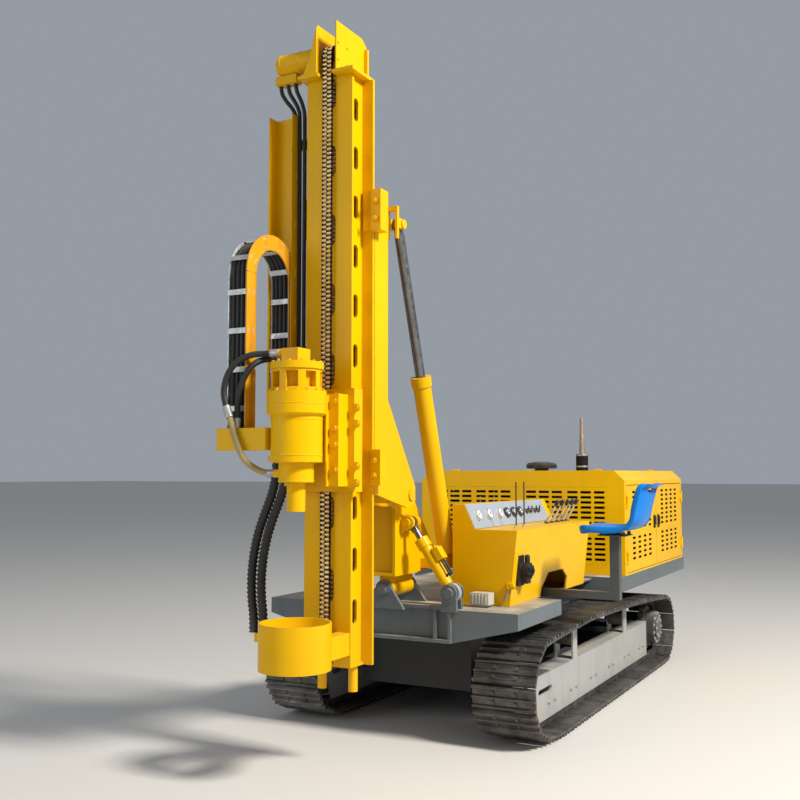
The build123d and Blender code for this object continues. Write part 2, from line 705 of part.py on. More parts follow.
def cylinder_parts(length, barrel, eye_r, eye_half, pin, neck, r_barrel, r_rod):
    """Barrel and rod of a hydraulic cylinder along +Z from its lower pin, as two solids."""
    with BuildPart(mode=Mode.PRIVATE) as body:
        with BuildSketch(Plane.XY.offset(neck)):
            Circle(r_barrel)
        extrude(amount=barrel - neck)
        with BuildSketch(Plane.XY.offset(barrel - 60)):
            Circle(r_barrel + 8)
        extrude(amount=60)
        with BuildSketch(Plane.YZ):
            Circle(eye_r)
            with Locations((0, neck / 2 + 5)):
                Rectangle(1.4 * eye_r, neck + 10)
        extrude(amount=eye_half, both=True)
        with BuildSketch(Plane.YZ):
            Circle(pin + 1)
        extrude(amount=eye_half + 1, both=True, mode=Mode.SUBTRACT)
        with BuildSketch(Plane.XY.offset(neck + 30)):
            Circle(r_rod + bore_gap)
        extrude(amount=barrel, mode=Mode.SUBTRACT)
    with BuildPart(mode=Mode.PRIVATE) as rod:
        with BuildSketch(Plane.XY.offset(barrel - 120)):
            Circle(r_rod)
        extrude(amount=length - barrel + 120 - neck)
        with BuildSketch(Plane.YZ):
            with Locations((0, length)):
                Circle(eye_r * 0.9)
            with Locations((0, length - neck / 2 - 5)):
                Rectangle(1.2 * eye_r, neck + 10)
        extrude(amount=eye_half, both=True)
        with BuildSketch(Plane.YZ):
            with Locations((0, length)):
                Circle(pin * 0.83 + 1)
        extrude(amount=eye_half + 1, both=True, mode=Mode.SUBTRACT)
    return body.part, rod.part


dy, dz = luff_eye[0] - luff_base[0], luff_eye[1] - luff_base[1]
luff_length, luff_lean = hypot(dy, dz), degrees(atan2(-dy, dz))
luff_parts = cylinder_parts(luff_length, 1197.0, 42.0, 17.0, 24.0, 58.0, 55.0, 30.0)
dx, dz = tilt_eye[0] - tilt_base[0], tilt_eye[1] - tilt_base[1]
tilt_length, tilt_lean = hypot(dx, dz), degrees(atan2(dx, dz))
tilt_parts = cylinder_parts(tilt_length, tilt_length - 120, 34.0, 17.0, 18.0, 52.0, 36.0, 20.0)

for index, name in ((0, "barrel"), (1, "rod")):
    with BuildPart() as pair:
        for e in (-1, 1):
            add(Pos(e * luff_x, luff_base[0], luff_base[1])
                * Rot(luff_lean, 0, 0) * luff_parts[index])
    pair.part.label = f"luff_cylinder_{name}s"
    export_step(pair.part, f"parts/luff_cylinder_{name}s.step")
    with BuildPart() as single:
        add(Pos(tilt_base[0], tilt_y, tilt_base[1])
            * Rot(0, tilt_lean, 0) * Rot(0, 0, 90) * tilt_parts[index])
    single.part.label = f"tilt_cylinder_{name}"
    export_step(single.part, f"parts/tilt_cylinder_{name}.step")

# Mast.
mast_rear = mast_front + mast_depth
web_x = mast_half - 15.0
mast_length = mast_top - mast_foot
mast_z = (mast_foot + mast_top) / 2
chain_r = 48.0
chain_half = 16.0        # half the depth of the links
gear_z, foot_z = 3985.0, 640.0
chain_y = mast_front - gap - chain_half
with BuildPart() as mast:
    with Locations((0, mast_front + flange / 2, mast_z)):
        Box(2 * mast_half, flange, mast_length)
    for e in (-1, 1):
        with Locations((e * (web_x - 7.5), mast_front + mast_depth / 2, mast_z)):
            Box(15, mast_depth, mast_length)
    with Locations((0, mast_rear + flange / 2, mast_z)):
        Box(2 * rear_half, flange, mast_length)
    with Locations((0, mast_front + mast_depth / 2, mast_foot + 8)):
        Box(2 * mast_half, mast_depth, 16)
    # round-ended slots in the front plate, and the mouth where the chain turns in at the foot
    length, width, step = front_slot
    with BuildSketch(Plane.XZ.offset(-(mast_front - 1))):
        with Locations(*[(0, mast_top - 94 - i * step) for i in range(8)]):
            SlotOverall(length, width, rotation=90)
        with Locations((0, (mast_foot + 16 + 730) / 2)):
            Rectangle(80, 730 - mast_foot - 16)
    extrude(amount=-(flange + 2), mode=Mode.SUBTRACT)
    # groove for the foot sprocket's shaft
    with Locations((0, chain_y + chain_r, foot_z)):
        Cylinder(18 + seat_gap, 2 * web_x - 30, rotation=(0, 90, 0), mode=Mode.SUBTRACT)
    # round-ended slots in the side webs
    length, width, step = side_slot
    with BuildSketch(Plane.YZ):
        with Locations(*[(mast_front + 68, mast_top - 190 - i * step) for i in range(11)]):
            SlotOverall(length, width, rotation=90)
    extrude(amount=web_x + 1, both=True, mode=Mode.SUBTRACT)
    # clamp that holds the fixed end of the hose carrier
    with Locations(((loop_x[0] - web_x) / 2, mast_rear - 65, loop_end - 15 - seat_gap)):
        Box(-loop_x[0] - web_x + 10, 51, 30)
    with Locations(((loop_x[0] - 262) / 2 - 5, mast_rear - 68, loop_end - 15 - seat_gap)):
        Box(-loop_x[0] - 262 + 10, 93, 30)
    # clamp at the foot that holds the lower ends of the corrugated hoses
    with Locations((-(rear_half + web_x + 155) / 2 - 70, mast_rear - 89, foot_clamp - 25)):
        Box(rear_half + 155 - web_x + 140, 60, 50)
    # ground pins
    for e in (-1, 1):
        with Locations((e * 100, mast_rear - 24, 405)):
            Cylinder(26, mast_foot - 405, align=(Align.CENTER, Align.CENTER, Align.MIN))
mast.part.label = "mast"
export_step(mast.part, "parts/mast.step")

head_z = mast_top + flange
with BuildPart() as head:
    for e in (-1, 1):
        with Locations((e * 115, (mast_front + mast_rear) / 2 - 5, mast_top + flange / 2)):
            Box(138, mast_depth + 100, flange)
        with BuildSketch(Plane.YZ.offset(e * 60)):
            with BuildLine():
                Polyline((mast_front - 42, mast_top), (mast_front - 42, 4156),
                         (-2245, 4160), (-2190, 4125), (-2190, mast_top), close=True)
            make_face()
        extrude(amount=9 * e)
    with Locations((0, -2210, (mast_top + 4100) / 2)):
        Box(2 * 92, 20, 4100 - mast_top)
    # gusset in front of the feed motor
    with BuildSketch(Plane.XZ.offset(-(mast_front - 50))):
        with BuildLine():
            Polyline((-60, mast_top + flange), (-60, 4150), (-78, 4080), (-100, 3990),
                     (-150, mast_top + flange), close=True)
        make_face()
    extrude(amount=-10)
head.part.label = "mast_head"
export_step(head.part, "parts/mast_head.step")

for name, z, half in (("head", gear_z, 60 - seat_gap), ("foot", foot_z, web_x - 15 - seat_gap)):
    with BuildPart() as gear:
        for r, width in ((chain_r - chain_half - seat_gap, 26), (18, half)):
            with BuildSketch(Plane.YZ):
                with Locations((chain_y + chain_r, z)):
                    Circle(r)
            extrude(amount=width, both=True)
    gear.part.label = f"{name}_sprocket"
    export_step(gear.part, f"parts/{name}_sprocket.step")

with BuildPart() as chain:
    with BuildSketch(Plane.YZ):
        with Locations((chain_y + chain_r, (gear_z + foot_z) / 2)):
            SlotCenterToCenter(gear_z - foot_z, 2 * (chain_r + chain_half), rotation=90)
            SlotCenterToCenter(gear_z - foot_z, 2 * (chain_r - chain_half), rotation=90,
                               mode=Mode.SUBTRACT)
    extrude(amount=27, both=True)
chain.part.label = "feed_chain"
export_step(chain.part, "parts/feed_chain.step")

motor_r, motor_long = 64.0, 275.0
with BuildPart() as motor:
    with Locations((-69 - seat_gap - motor_long / 2, chain_y + chain_r, gear_z)):
        Cylinder(motor_r, motor_long, rotation=(0, 90, 0))
    with Locations((-69 - motor_long - 9, chain_y + chain_r, gear_z)):
        Cylinder(46, 20, rotation=(0, 90, 0))
motor.part.label = "feed_motor"
export_step(motor.part, "parts/feed_motor.step")

tray_x = (-420.0, -262.0)
tray_low, tray_high = 2060.0, 3690.0
tray_back = mast_front + 89
with BuildPart() as tray:
    with Locations((sum(tray_x) / 2, tray_back - 3, (tray_low + tray_high) / 2)):
        Box(tray_x[1] - tray_x[0], 6, tray_high - tray_low)
    for x in tray_x:
        with Locations((x, tray_back - 40, (tray_low + tray_high) / 2)):
            Box(6, 80, tray_high - tray_low)
    for z in (2300, 3520):
        with Locations(((tray_x[1] - web_x - seat_gap - 3) / 2, tray_back + 6, z)):
            Box(-web_x - seat_gap - tray_x[1] + 3, 20, 60)
tray.part.label = "hose_tray"
export_step(tray.part, "parts/hose_tray.step")

# hose carrier: an arch that runs up at half the feed, and two legs
with BuildPart() as arch:
    for x in (loop_x[0] + band / 2, loop_x[1] - band / 2):
        with BuildSketch(Plane.YZ.offset(x)):
            with Locations((loop_y, loop_z)):
                Circle(loop_out)
                Circle(loop_in, mode=Mode.SUBTRACT)
                Rectangle(3 * loop_out, 3 * loop_out, align=(Align.CENTER, Align.MAX),
                          mode=Mode.SUBTRACT)
        extrude(amount=band / 2, both=True)
    for i in range(5):
        angle = radians(18 + 36 * i)
        middle_r = (loop_out + loop_in) / 2
        with Locations(Location((loop_mid, loop_y + middle_r * cos(angle),
                                 loop_z + middle_r * sin(angle)), (degrees(angle), 0, 0))):
            Box(loop_x[1] - loop_x[0] - 1, 46, 22)
arch.part.label = "hose_carrier_arch"
export_step(arch.part, "parts/hose_carrier_arch.step")

for name, y, low in (("front", loop_y - (loop_out + loop_in) / 2, bracket_top),
                     ("rear", loop_y + (loop_out + loop_in) / 2, loop_end)):
    with BuildPart() as leg:
        for x in (loop_x[0] + band / 2, loop_x[1] - band / 2):
            with Locations((x, y, (low + loop_z) / 2)):
                Box(band, loop_out - loop_in, loop_z - low - 2 * seat_gap)
        for i in range(int((loop_z - low) / 200)):
            with Locations((loop_mid, y, loop_z - 100 - i * 200)):
                Box(loop_x[1] - loop_x[0] - 1, 46, 22)
    leg.part.label = f"hose_carrier_{name}_leg"
    export_step(leg.part, f"parts/hose_carrier_{name}_leg.step")

# Hoses.


def hose(points, r):
    """A hose of radius r along straight runs joined by arcs as large as the runs allow."""
    radii = []
    for a, b, c in zip(points, points[1:], points[2:]):
        one, two = Vector(*b) - Vector(*a), Vector(*c) - Vector(*b)
        radii.append(0.45 * min(one.length, two.length) / tan(radians(one.get_angle(two)) / 2))
    with BuildPart(mode=Mode.PRIVATE) as tube:
        with BuildLine() as route:
            FilletPolyline(*points, radius=radii)
        path = route.wire()
        with BuildSketch(Plane(origin=points[0], z_dir=path % 0)):
            Circle(r)
        sweep(path=path)
    length = path.length
    print("hose", round(length), "tightest arc", round(min(radii)),
          "volume ratio", round(tube.part.volume / (pi * r * r * length), 3))
    return tube.part


# three thin hoses from the feed motor's ports to the clamp of the hose carrier
port_top = gear_z - motor_r - seat_gap
with BuildPart() as ports:
    with Locations((-300, chain_y + chain_r, port_top - 26)):
        Box(144, 60, 52)
ports.part.label = "feed_motor_ports"
export_step(ports.part, "parts/feed_motor_ports.step")

feed_hose_r = 12.0
port_z = port_top - 52 - seat_gap
feed_routes = [
    [(-352, -2462, port_z), (-352, -2462, 3832), (-336, -2430, 3788), (-312, -2395, 3750),
     (-297, -2383, 3702), (-290, -2383, 3630), (-290, -2383, loop_end)],
    [(-300, -2462, port_z), (-300, -2462, 3830), (-274, -2438, 3778), (-254, -2422, 3730),
     (-243, -2420, 3670), (-243, -2420, loop_end)],
    [(-248, -2462, port_z), (-248, -2462, 3830), (-228, -2438, 3775), (-215, -2423, 3715),
     (-211, -2420, 3650), (-211, -2420, loop_end)],
]
with BuildPart() as feed_hoses:
    for route in feed_routes:
        add(hose(route, feed_hose_r))
feed_hoses.part.label = "feed_motor_hoses"
export_step(feed_hoses.part, "parts/feed_motor_hoses.step")

# corrugated hoses that hang from the fixed end of the hose carrier to the mast's foot
drop_r = 28.0
drop_y = mast_rear - 89
drop_top = loop_end - 30 - 2 * seat_gap
drop_routes = [
    ("outer", [(-376, drop_y, drop_top), (-376, drop_y, 1588), (-408, drop_y, 1472),
               (-460, drop_y, 1360), (-505, drop_y, 1245), (-533, drop_y, 1120),
               (-545, drop_y, 990), (-541, drop_y, 870), (-525, drop_y, 785),
               (-525, drop_y, foot_clamp + seat_gap)]),
    ("inner", [(-306, drop_y, drop_top), (-306, drop_y, 1588), (-338, drop_y, 1475),
               (-390, drop_y, 1365), (-434, drop_y, 1250), (-463, drop_y, 1130),
               (-477, drop_y, 1000), (-474, drop_y, 880), (-459, drop_y, 790),
               (-459, drop_y, foot_clamp + seat_gap)]),
]
for name, route in drop_routes:
    with BuildPart() as drop:
        add(hose(route, drop_r))
    drop.part.label = f"drop_hose_{name}"
    export_step(drop.part, f"parts/drop_hose_{name}.step")

# hoses on the rotary head
head_hose_r = 17.0
block_end = -90 - seat_gap            # X of the motor's fittings
head_routes = [
    ("upper", [(block_end, spindle_y - 32, 2240), (-165, spindle_y - 32, 2240),
               (-240, -2890, 2234), (-316, -2925, 2188), (-362, -2932, 2120),
               (-380, -2934, 2048), (-372, -2934, 1985), (-350, -2934, 1930)]),
    ("lower", [(-348, -2934, 1925), (-326, -2934, 1870), (-304, -2936, 1800),
               (-270, -2944, 1735), (-238, -2936, 1668), (-205, -2880, 1622),
               (-165, spindle_y - 35, 1600), (-110 - seat_gap, spindle_y - 35, 1600)]),
    ("inner", [(block_end, spindle_y + 22, 2218), (-155, spindle_y + 22, 2218),
               (-204, -2838, 2208), (-236, -2888, 2172), (-278, -2900, 2100),
               (-312, -2898, 2010), (-318, -2894, 1925),
               (-318, -2894, bracket_top + seat_gap)]),
]
for name, route in head_routes:
    with BuildPart() as head_hose:
        add(hose(route, head_hose_r))
    head_hose.part.label = f"head_hose_{name}"
    export_step(head_hose.part, f"parts/head_hose_{name}.step")

# Rotary head.
ride_low, ride_high = 1500.0, 2060.0
plate_y = chain_y - chain_half - gap - 15
carriage_half = 212.0
with BuildPart() as carriage:
    # plate across the mast's front with shoes behind the front flange
    with Locations((0, plate_y, (ride_low + ride_high) / 2)):
        Box(2 * carriage_half, 30, ride_high - ride_low)
    for e in (-1, 1):
        with Locations(((e * (mast_half + gap + carriage_half) / 2), mast_front - gap - 20,
                        (ride_low + ride_high) / 2)):
            Box(carriage_half - mast_half - gap, 80, ride_high - ride_low)
        for z in (ride_low + 70, ride_high - 70):
            with Locations((e * (mast_half - 40), (plate_y + mast_front - seat_gap) / 2, z)):
                Box(80, mast_front - seat_gap - plate_y, 140)
            with Locations((e * (mast_half + 8), mast_front + flange + seat_gap + 10, z)):
                Box(36, 20, 140)
            with Locations((e * (mast_half + gap + 20), mast_front + 10, z)):
                Box(40, 60, 140)
        # bracket plates that hold the gearbox, with a flange in front
        with BuildSketch(Plane.YZ.offset(e * 100)):
            with BuildLine():
                Polyline((spindle_y + 45, 1662), (spindle_y + 45, 2000), (plate_y, 2040),
                         (plate_y, 1530), (-2680, 1530), (-2680, 1662), close=True)
            make_face()
            with Locations((-2640, 1745), (-2640, 1815)):
                Circle(26, mode=Mode.SUBTRACT)
        extrude(amount=12, both=True)
        with Locations((e * 136, -2650, 1778)):
            Box(72, 18, 496)
        with Locations((e * 163, (plate_y - 2650) / 2, 1778)):
            Box(18, 2650 + plate_y, 496)
    with Locations((0, spindle_y, (ride_low + ride_high) / 2)):
        Cylinder(drum_r + seat_gap, ride_high - ride_low, mode=Mode.SUBTRACT)
carriage.part.label = "head_carriage"
export_step(carriage.part, "parts/head_carriage.step")

with BuildPart() as hose_bracket:
    # box beside the gearbox that carries the hose carrier's moving end
    with Locations(((loop_x[0] - 28 - 120) / 2, loop_y - (loop_out + loop_in) / 2 - 14,
                    (1722 + bracket_top) / 2)):
        Box(-loop_x[0] + 28 - 120, 112, bracket_top - 1722)
    with Locations((0, spindle_y, 1800)):
        Cylinder(body_r + seat_gap, 600, mode=Mode.SUBTRACT)
hose_bracket.part.label = "hose_bracket"
export_step(hose_bracket.part, "parts/hose_bracket.step")

with BuildPart() as gearbox:
    with BuildSketch(Plane.XZ.offset(-spindle_y)):
        with BuildLine():
            Polyline((0, spindle_top), (collar_r, spindle_top), (collar_r, 1652),
                     (body_r, 1658), (body_r, 1900), (drum_r, 1912), (drum_r, drive_top),
                     (0, drive_top), close=True)
        make_face()
    revolve(axis=Axis((0, spindle_y, 0), (0, 0, 1)))
    # lower port of the head's hose
    with Locations((-85, spindle_y - 35, 1600)):
        Cylinder(22, 50, rotation=(0, 90, 0))
gearbox.part.label = "rotary_gearbox"
export_step(gearbox.part, "parts/rotary_gearbox.step")

ports_at = ((spindle_y - 32, 2240), (spindle_y + 22, 2218))     # Y and Z of the motor's ports
with BuildPart() as top_motor:
    cage_top = drive_top + 116
    with BuildSketch(Plane.XY.offset(drive_top + seat_gap)):
        with Locations((0, spindle_y)):
            Circle(134)
    extrude(amount=cage_top - drive_top)
    # windows round the motor's cage
    with BuildSketch(Plane.XY.offset(drive_top + 20)):
        with Locations((0, spindle_y)):
            with PolarLocations(116, 8, start_angle=22.5):
                Rectangle(50, 62)
    extrude(amount=82, mode=Mode.SUBTRACT)
    with BuildSketch(Plane.XY.offset(cage_top)):
        with Locations((0, spindle_y)):
            Circle(142)
    extrude(amount=38)
    # port block and its two fittings
    with Locations((-8, spindle_y, cage_top + 38 + 38)):
        Box(104, 120, 76)
    for y, z in ports_at:
        with Locations((-65, y, z)):
            Cylinder(20, 50, rotation=(0, 90, 0))
top_motor.part.label = "rotary_motor"
export_step(top_motor.part, "parts/rotary_motor.step")

with BuildPart() as spindle:
    with Locations((0, spindle_y, spindle_end)):
        Cylinder(spindle_r, spindle_top - spindle_end - seat_gap, align=(Align.CENTER, Align.CENTER, Align.MIN))
    with Locations((0, spindle_y, spindle_end)):
        Cylinder(bore_r, 90, align=(Align.CENTER, Align.CENTER, Align.MIN), mode=Mode.SUBTRACT)
spindle.part.label = "spindle"
export_step(spindle.part, "parts/spindle.step")

# Casing guide at the foot.
guide_low, guide_high = 586.0, 827.0
guide_r, guide_wall = 191.0, 12.0
with BuildPart() as guide:
    with BuildSketch(Plane.XY.offset(guide_low)):
        with Locations((0, spindle_y)):
            Circle(guide_r)
    extrude(amount=guide_high - guide_low)
    for e in (-1, 1):
        with Locations((e * 105, (spindle_y + mast_front) / 2, 680)):
            Box(80, mast_front - spindle_y - 2 * seat_gap, 120)
    with BuildSketch(Plane.XY.offset(guide_low)):
        with Locations((0, spindle_y)):
            Circle(guide_r - guide_wall)
    extrude(amount=guide_high - guide_low, mode=Mode.SUBTRACT)
guide.part.label = "casing_guide"
export_step(guide.part, "parts/casing_guide.step")

print("shoe pitch", round(pitch, 1), "luff cylinder", round(luff_length), round(luff_lean, 2),
      "tilt cylinder", round(tilt_length), round(tilt_lean, 2))
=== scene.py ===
import bpy
import bmesh
from math import acos, atan2, cos, hypot, pi, radians, sin
from mathutils import Matrix, Vector


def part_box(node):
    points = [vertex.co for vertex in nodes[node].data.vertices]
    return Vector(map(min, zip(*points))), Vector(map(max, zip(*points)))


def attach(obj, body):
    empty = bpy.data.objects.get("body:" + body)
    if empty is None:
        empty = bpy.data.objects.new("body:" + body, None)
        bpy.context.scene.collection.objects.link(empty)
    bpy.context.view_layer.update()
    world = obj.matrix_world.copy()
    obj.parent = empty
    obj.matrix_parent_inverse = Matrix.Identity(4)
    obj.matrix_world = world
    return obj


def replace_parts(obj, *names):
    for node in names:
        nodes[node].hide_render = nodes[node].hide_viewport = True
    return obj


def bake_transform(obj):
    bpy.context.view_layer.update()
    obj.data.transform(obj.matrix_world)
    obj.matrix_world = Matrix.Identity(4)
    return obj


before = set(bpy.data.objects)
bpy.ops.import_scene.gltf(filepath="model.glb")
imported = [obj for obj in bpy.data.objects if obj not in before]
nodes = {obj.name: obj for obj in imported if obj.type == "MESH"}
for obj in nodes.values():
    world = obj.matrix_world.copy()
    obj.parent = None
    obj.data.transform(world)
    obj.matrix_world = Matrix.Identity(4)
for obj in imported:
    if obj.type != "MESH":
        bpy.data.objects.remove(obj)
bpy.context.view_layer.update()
scene = bpy.context.scene

# Camera. It stands at a person's eye height in front of the rig, off to the operator's side, and
# looks up a little.
def placed(name, data):
    """An object made from data and put in the scene."""
    made = bpy.data.objects.new(name, data)
    scene.collection.objects.link(made)
    return made


turned_left, tipped_up = radians(27.85), radians(4.22)
camera = placed("camera", bpy.data.cameras.new("camera"))
camera.data.lens, camera.data.sensor_width = 44.75, 36.0
camera.location = (2.9317, -7.1809, 1.600)
camera.rotation_euler = (radians(90) + tipped_up, 0, turned_left)
scene.camera = camera


# Floor and light. A pale matt floor runs out to the horizon, a large soft lamp stands high on the
# operator's side, and the world fills the shade.
def new_finish(name):
    """A new material, its node tree and its shader."""
    finish = bpy.data.materials.new(name)
    finish.use_nodes = True
    return finish, finish.node_tree, finish.node_tree.nodes["Principled BSDF"]


scene.view_settings.view_transform = "Standard"
floor_half = 150.0
floor_mesh = bpy.data.meshes.new("floor")
floor_mesh.from_pydata([(-floor_half, -floor_half, 0), (floor_half, -floor_half, 0),
                        (floor_half, floor_half, 0), (-floor_half, floor_half, 0)], [],
                       [(0, 1, 2, 3)])
floor = placed("floor", floor_mesh)
floor_finish, _, floor_shader = new_finish("floor_matt")
floor_shader.inputs["Base Color"].default_value = (0.62, 0.60, 0.57, 1)
floor_shader.inputs["Roughness"].default_value = 0.9
floor_mesh.materials.append(floor_finish)

world = bpy.data.worlds.new("studio")
world.use_nodes = True
sky = world.node_tree.nodes["Background"]
sky.inputs["Color"].default_value = (0.80, 0.87, 0.96, 1)
sky.inputs["Strength"].default_value = 0.38
scene.world = world


def lamp(name, place, aim, size, power, colour):
    """A soft square lamp that faces a point."""
    light = bpy.data.lights.new(name, "AREA")
    light.size, light.energy, light.color = size, power, colour
    holder = placed(name, light)
    holder.location = place
    holder.rotation_euler = (Vector(aim) - Vector(place)).to_track_quat("-Z", "Y").to_euler()


lamp("key_lamp", (9.5, -3.0, 9.5), (0, -1.0, 1.3), 2.2, 2420, (1.0, 0.96, 0.88))
lamp("fill_lamp", (-5.0, -9.0, 4.0), (0, -1.0, 1.6), 5.0, 150, (0.93, 0.96, 1.0))


# Tracks' side frames. Each is a welded box of grey painted plate that carries the rollers, with
# forks for the idler in front and a mounting for the final drive behind.
def give(tree, value, socket):
    """A link to a socket, or a number or colour set on it."""
    if isinstance(value, bpy.types.NodeSocket):
        tree.links.new(value, socket)
    else:
        socket.default_value = (*value, 1) if isinstance(value, tuple) else value


def worked(tree, operation, *values):
    """Result of one sum on sockets or numbers."""
    node = tree.nodes.new("ShaderNodeMath")
    node.operation = operation
    for value, socket in zip(values, node.inputs):
        give(tree, value, socket)
    return node.outputs[0]


def mixed(tree, share, one, two):
    """Colour between one and two, by a share."""
    mix = tree.nodes.new("ShaderNodeMix")
    mix.data_type = "RGBA"
    for value, place in ((share, 0), (one, 6), (two, 7)):
        give(tree, value, mix.inputs[place])
    return mix.outputs[2]


def ranged(tree, value, given=(0.0, 1.0), wanted=(0.0, 1.0)):
    """A socket's value carried from one range to another and held inside it."""
    reach = tree.nodes.new("ShaderNodeMapRange")
    for label, number in zip(("From Min", "From Max", "To Min", "To Max"), given + wanted):
        reach.inputs[label].default_value = number
    tree.links.new(value, reach.inputs["Value"])
    return reach.outputs["Result"]


def noise(tree, scale, stretch=(1, 1, 1), low=0.35, high=0.65):
    """Noise on the object's own coordinates, from 0 at low to 1 at high."""
    place = tree.nodes.new("ShaderNodeTexCoord")
    turn = tree.nodes.new("ShaderNodeMapping")
    turn.inputs["Scale"].default_value = stretch
    cloud = tree.nodes.new("ShaderNodeTexNoise")
    cloud.inputs["Scale"].default_value = scale
    cloud.inputs["Detail"].default_value = 5.0
    tree.links.new(place.outputs["Object"], turn.inputs["Vector"])
    tree.links.new(turn.outputs["Vector"], cloud.inputs["Vector"])
    return ranged(tree, cloud.outputs["Fac"], (low, high))


def dusted(tree, patches, on_top, near_ground):
    """Share of dust: in patches, on faces that look up, and more near the ground."""
    place = tree.nodes.new("ShaderNodeTexCoord")
    up, height = (tree.nodes.new("ShaderNodeSeparateXYZ") for _ in range(2))
    tree.links.new(place.outputs["Normal"], up.inputs[0])
    tree.links.new(place.outputs["Object"], height.inputs[0])
    lying = ranged(tree, up.outputs["Z"], (0.5, 0.95), (0.0, on_top))
    low = ranged(tree, height.outputs["Z"], (1.0, 0.1), (0.0, near_ground))
    return worked(tree, "MULTIPLY", worked(tree, "MAXIMUM", lying, low), patches)


def edges(tree, radius):
    """Share of wear on sharp edges, and the normal of edges rounded by radius."""
    bevel = tree.nodes.new("ShaderNodeBevel")
    bevel.samples = 4
    bevel.inputs["Radius"].default_value = radius
    shape = tree.nodes.new("ShaderNodeNewGeometry")
    dot = tree.nodes.new("ShaderNodeVectorMath")
    dot.operation = "DOT_PRODUCT"
    tree.links.new(bevel.outputs["Normal"], dot.inputs[0])
    tree.links.new(shape.outputs["True Normal"], dot.inputs[1])
    return ranged(tree, dot.outputs["Value"], (0.97, 0.80)), bevel.outputs["Normal"]


def grained(tree, shader, scale, strength, depth, normal=None):
    """A fine grain on a surface, over the normal that it has."""
    bump = tree.nodes.new("ShaderNodeBump")
    bump.inputs["Strength"].default_value = strength
    bump.inputs["Distance"].default_value = depth
    tree.links.new(noise(tree, scale, low=0.0, high=1.0), bump.inputs["Height"])
    if normal:
        tree.links.new(normal, bump.inputs["Normal"])
    tree.links.new(bump.outputs["Normal"], shader.inputs["Normal"])


def painted(name, colour, faded, chipped, dust, on_top=0.4, near_ground=0.5, streaks=0.35,
            gloss=0.36, shine=0.35):
    """Brushed-on machine paint: faded in patches, streaked by rain, dusty, chipped at edges."""
    finish, tree, shader = new_finish(name)
    base = mixed(tree, noise(tree, 1.6, low=0.3, high=0.7), colour, faded)
    runs = worked(tree, "MULTIPLY", noise(tree, 3.0, (5, 5, 0.35), 0.5, 0.72), streaks)
    base = mixed(tree, runs, base, tuple(0.55 * c for c in faded))
    share = dusted(tree, noise(tree, 5.0, low=0.25, high=0.75), on_top, near_ground)
    base = mixed(tree, share, base, dust)
    wear, rounded = edges(tree, 0.004)
    chips = worked(tree, "MULTIPLY", wear, noise(tree, 26.0, low=0.52, high=0.62))
    give(tree, mixed(tree, chips, base, chipped), shader.inputs["Base Color"])
    give(tree, ranged(tree, share, wanted=(gloss, 0.85)), shader.inputs["Roughness"])
    shader.inputs["Specular IOR Level"].default_value = shine
    grained(tree, shader, 34.0, 0.10, 0.004, rounded)
    return finish


def coat(finish, *names):
    """The finish on whole CAD nodes."""
    for name in names:
        for holder in nodes[name].material_slots:
            holder.material = finish


dust_colour = (0.54, 0.46, 0.34)
yellow = painted("yellow_paint", (0.80, 0.45, 0.001), (0.74, 0.40, 0.001), (0.20, 0.13, 0.07),
                 (0.70, 0.50, 0.14), on_top=0.22, near_ground=0.10, streaks=0.08, gloss=0.30,
                 shine=0.14)
grey = painted("grey_paint", (0.095, 0.12, 0.135), (0.125, 0.15, 0.165), (0.42, 0.43, 0.43),
               dust_colour, on_top=1.0, near_ground=0.12)
dark_grey = painted("dark_grey_paint", (0.045, 0.05, 0.055), (0.07, 0.075, 0.08),
                    (0.16, 0.13, 0.10), dust_colour, on_top=0.5, near_ground=0.3)
pale_grey = painted("side_frame_paint", (0.27, 0.29, 0.305), (0.32, 0.34, 0.355),
                    (0.15, 0.10, 0.06), dust_colour, on_top=0.8, near_ground=0.45)
coat(pale_grey, "track_frame_left", "track_frame_right")


# Idlers, drive sprockets and rollers. They are cast steel wheels, dark with grease and dust, and
# bright where the links run over them.
def bare_metal(name, colour, second, rust, rough=0.45, rusted=0.4, dust_top=0.3, near_ground=0.4):
    """Bare steel or iron: two greys in patches, rust in spots, bright edges."""
    finish, tree, shader = new_finish(name)
    base = mixed(tree, noise(tree, 7.0), colour, second)
    spots = worked(tree, "MULTIPLY", noise(tree, 18.0, low=0.5, high=0.68), rusted)
    base = mixed(tree, spots, base, rust)
    share = dusted(tree, noise(tree, 6.0, low=0.25, high=0.75), dust_top, near_ground)
    base = mixed(tree, share, base, dust_colour)
    wear, rounded = edges(tree, 0.003)
    bright = tuple(min(1, 1.9 * c) for c in second)
    base = mixed(tree, worked(tree, "MULTIPLY", wear, 0.5), base, bright)
    give(tree, base, shader.inputs["Base Color"])
    give(tree, ranged(tree, share, wanted=(0.85, 0.1)), shader.inputs["Metallic"])
    spread = ranged(tree, noise(tree, 30.0), wanted=(rough, min(1.0, rough + 0.3)))
    give(tree, spread, shader.inputs["Roughness"])
    grained(tree, shader, 60.0, 0.25, 0.003, rounded)
    return finish


cast_steel = bare_metal("cast_track_steel", (0.06, 0.06, 0.06), (0.12, 0.12, 0.115),
                        (0.12, 0.075, 0.045), rough=0.5, rusted=0.3, near_ground=0.2)
shoe_steel = bare_metal("worn_shoe_steel", (0.045, 0.046, 0.05), (0.13, 0.13, 0.13),
                        (0.10, 0.075, 0.055), rough=0.38, rusted=0.2, dust_top=0.18,
                        near_ground=0.22)
plain_steel = bare_metal("plain_steel", (0.34, 0.34, 0.34), (0.48, 0.48, 0.47),
                         (0.22, 0.12, 0.06), rough=0.38, rusted=0.25)
coat(dark_grey, "idler_wheels", "drive_sprockets")
coat(cast_steel, "track_rollers")


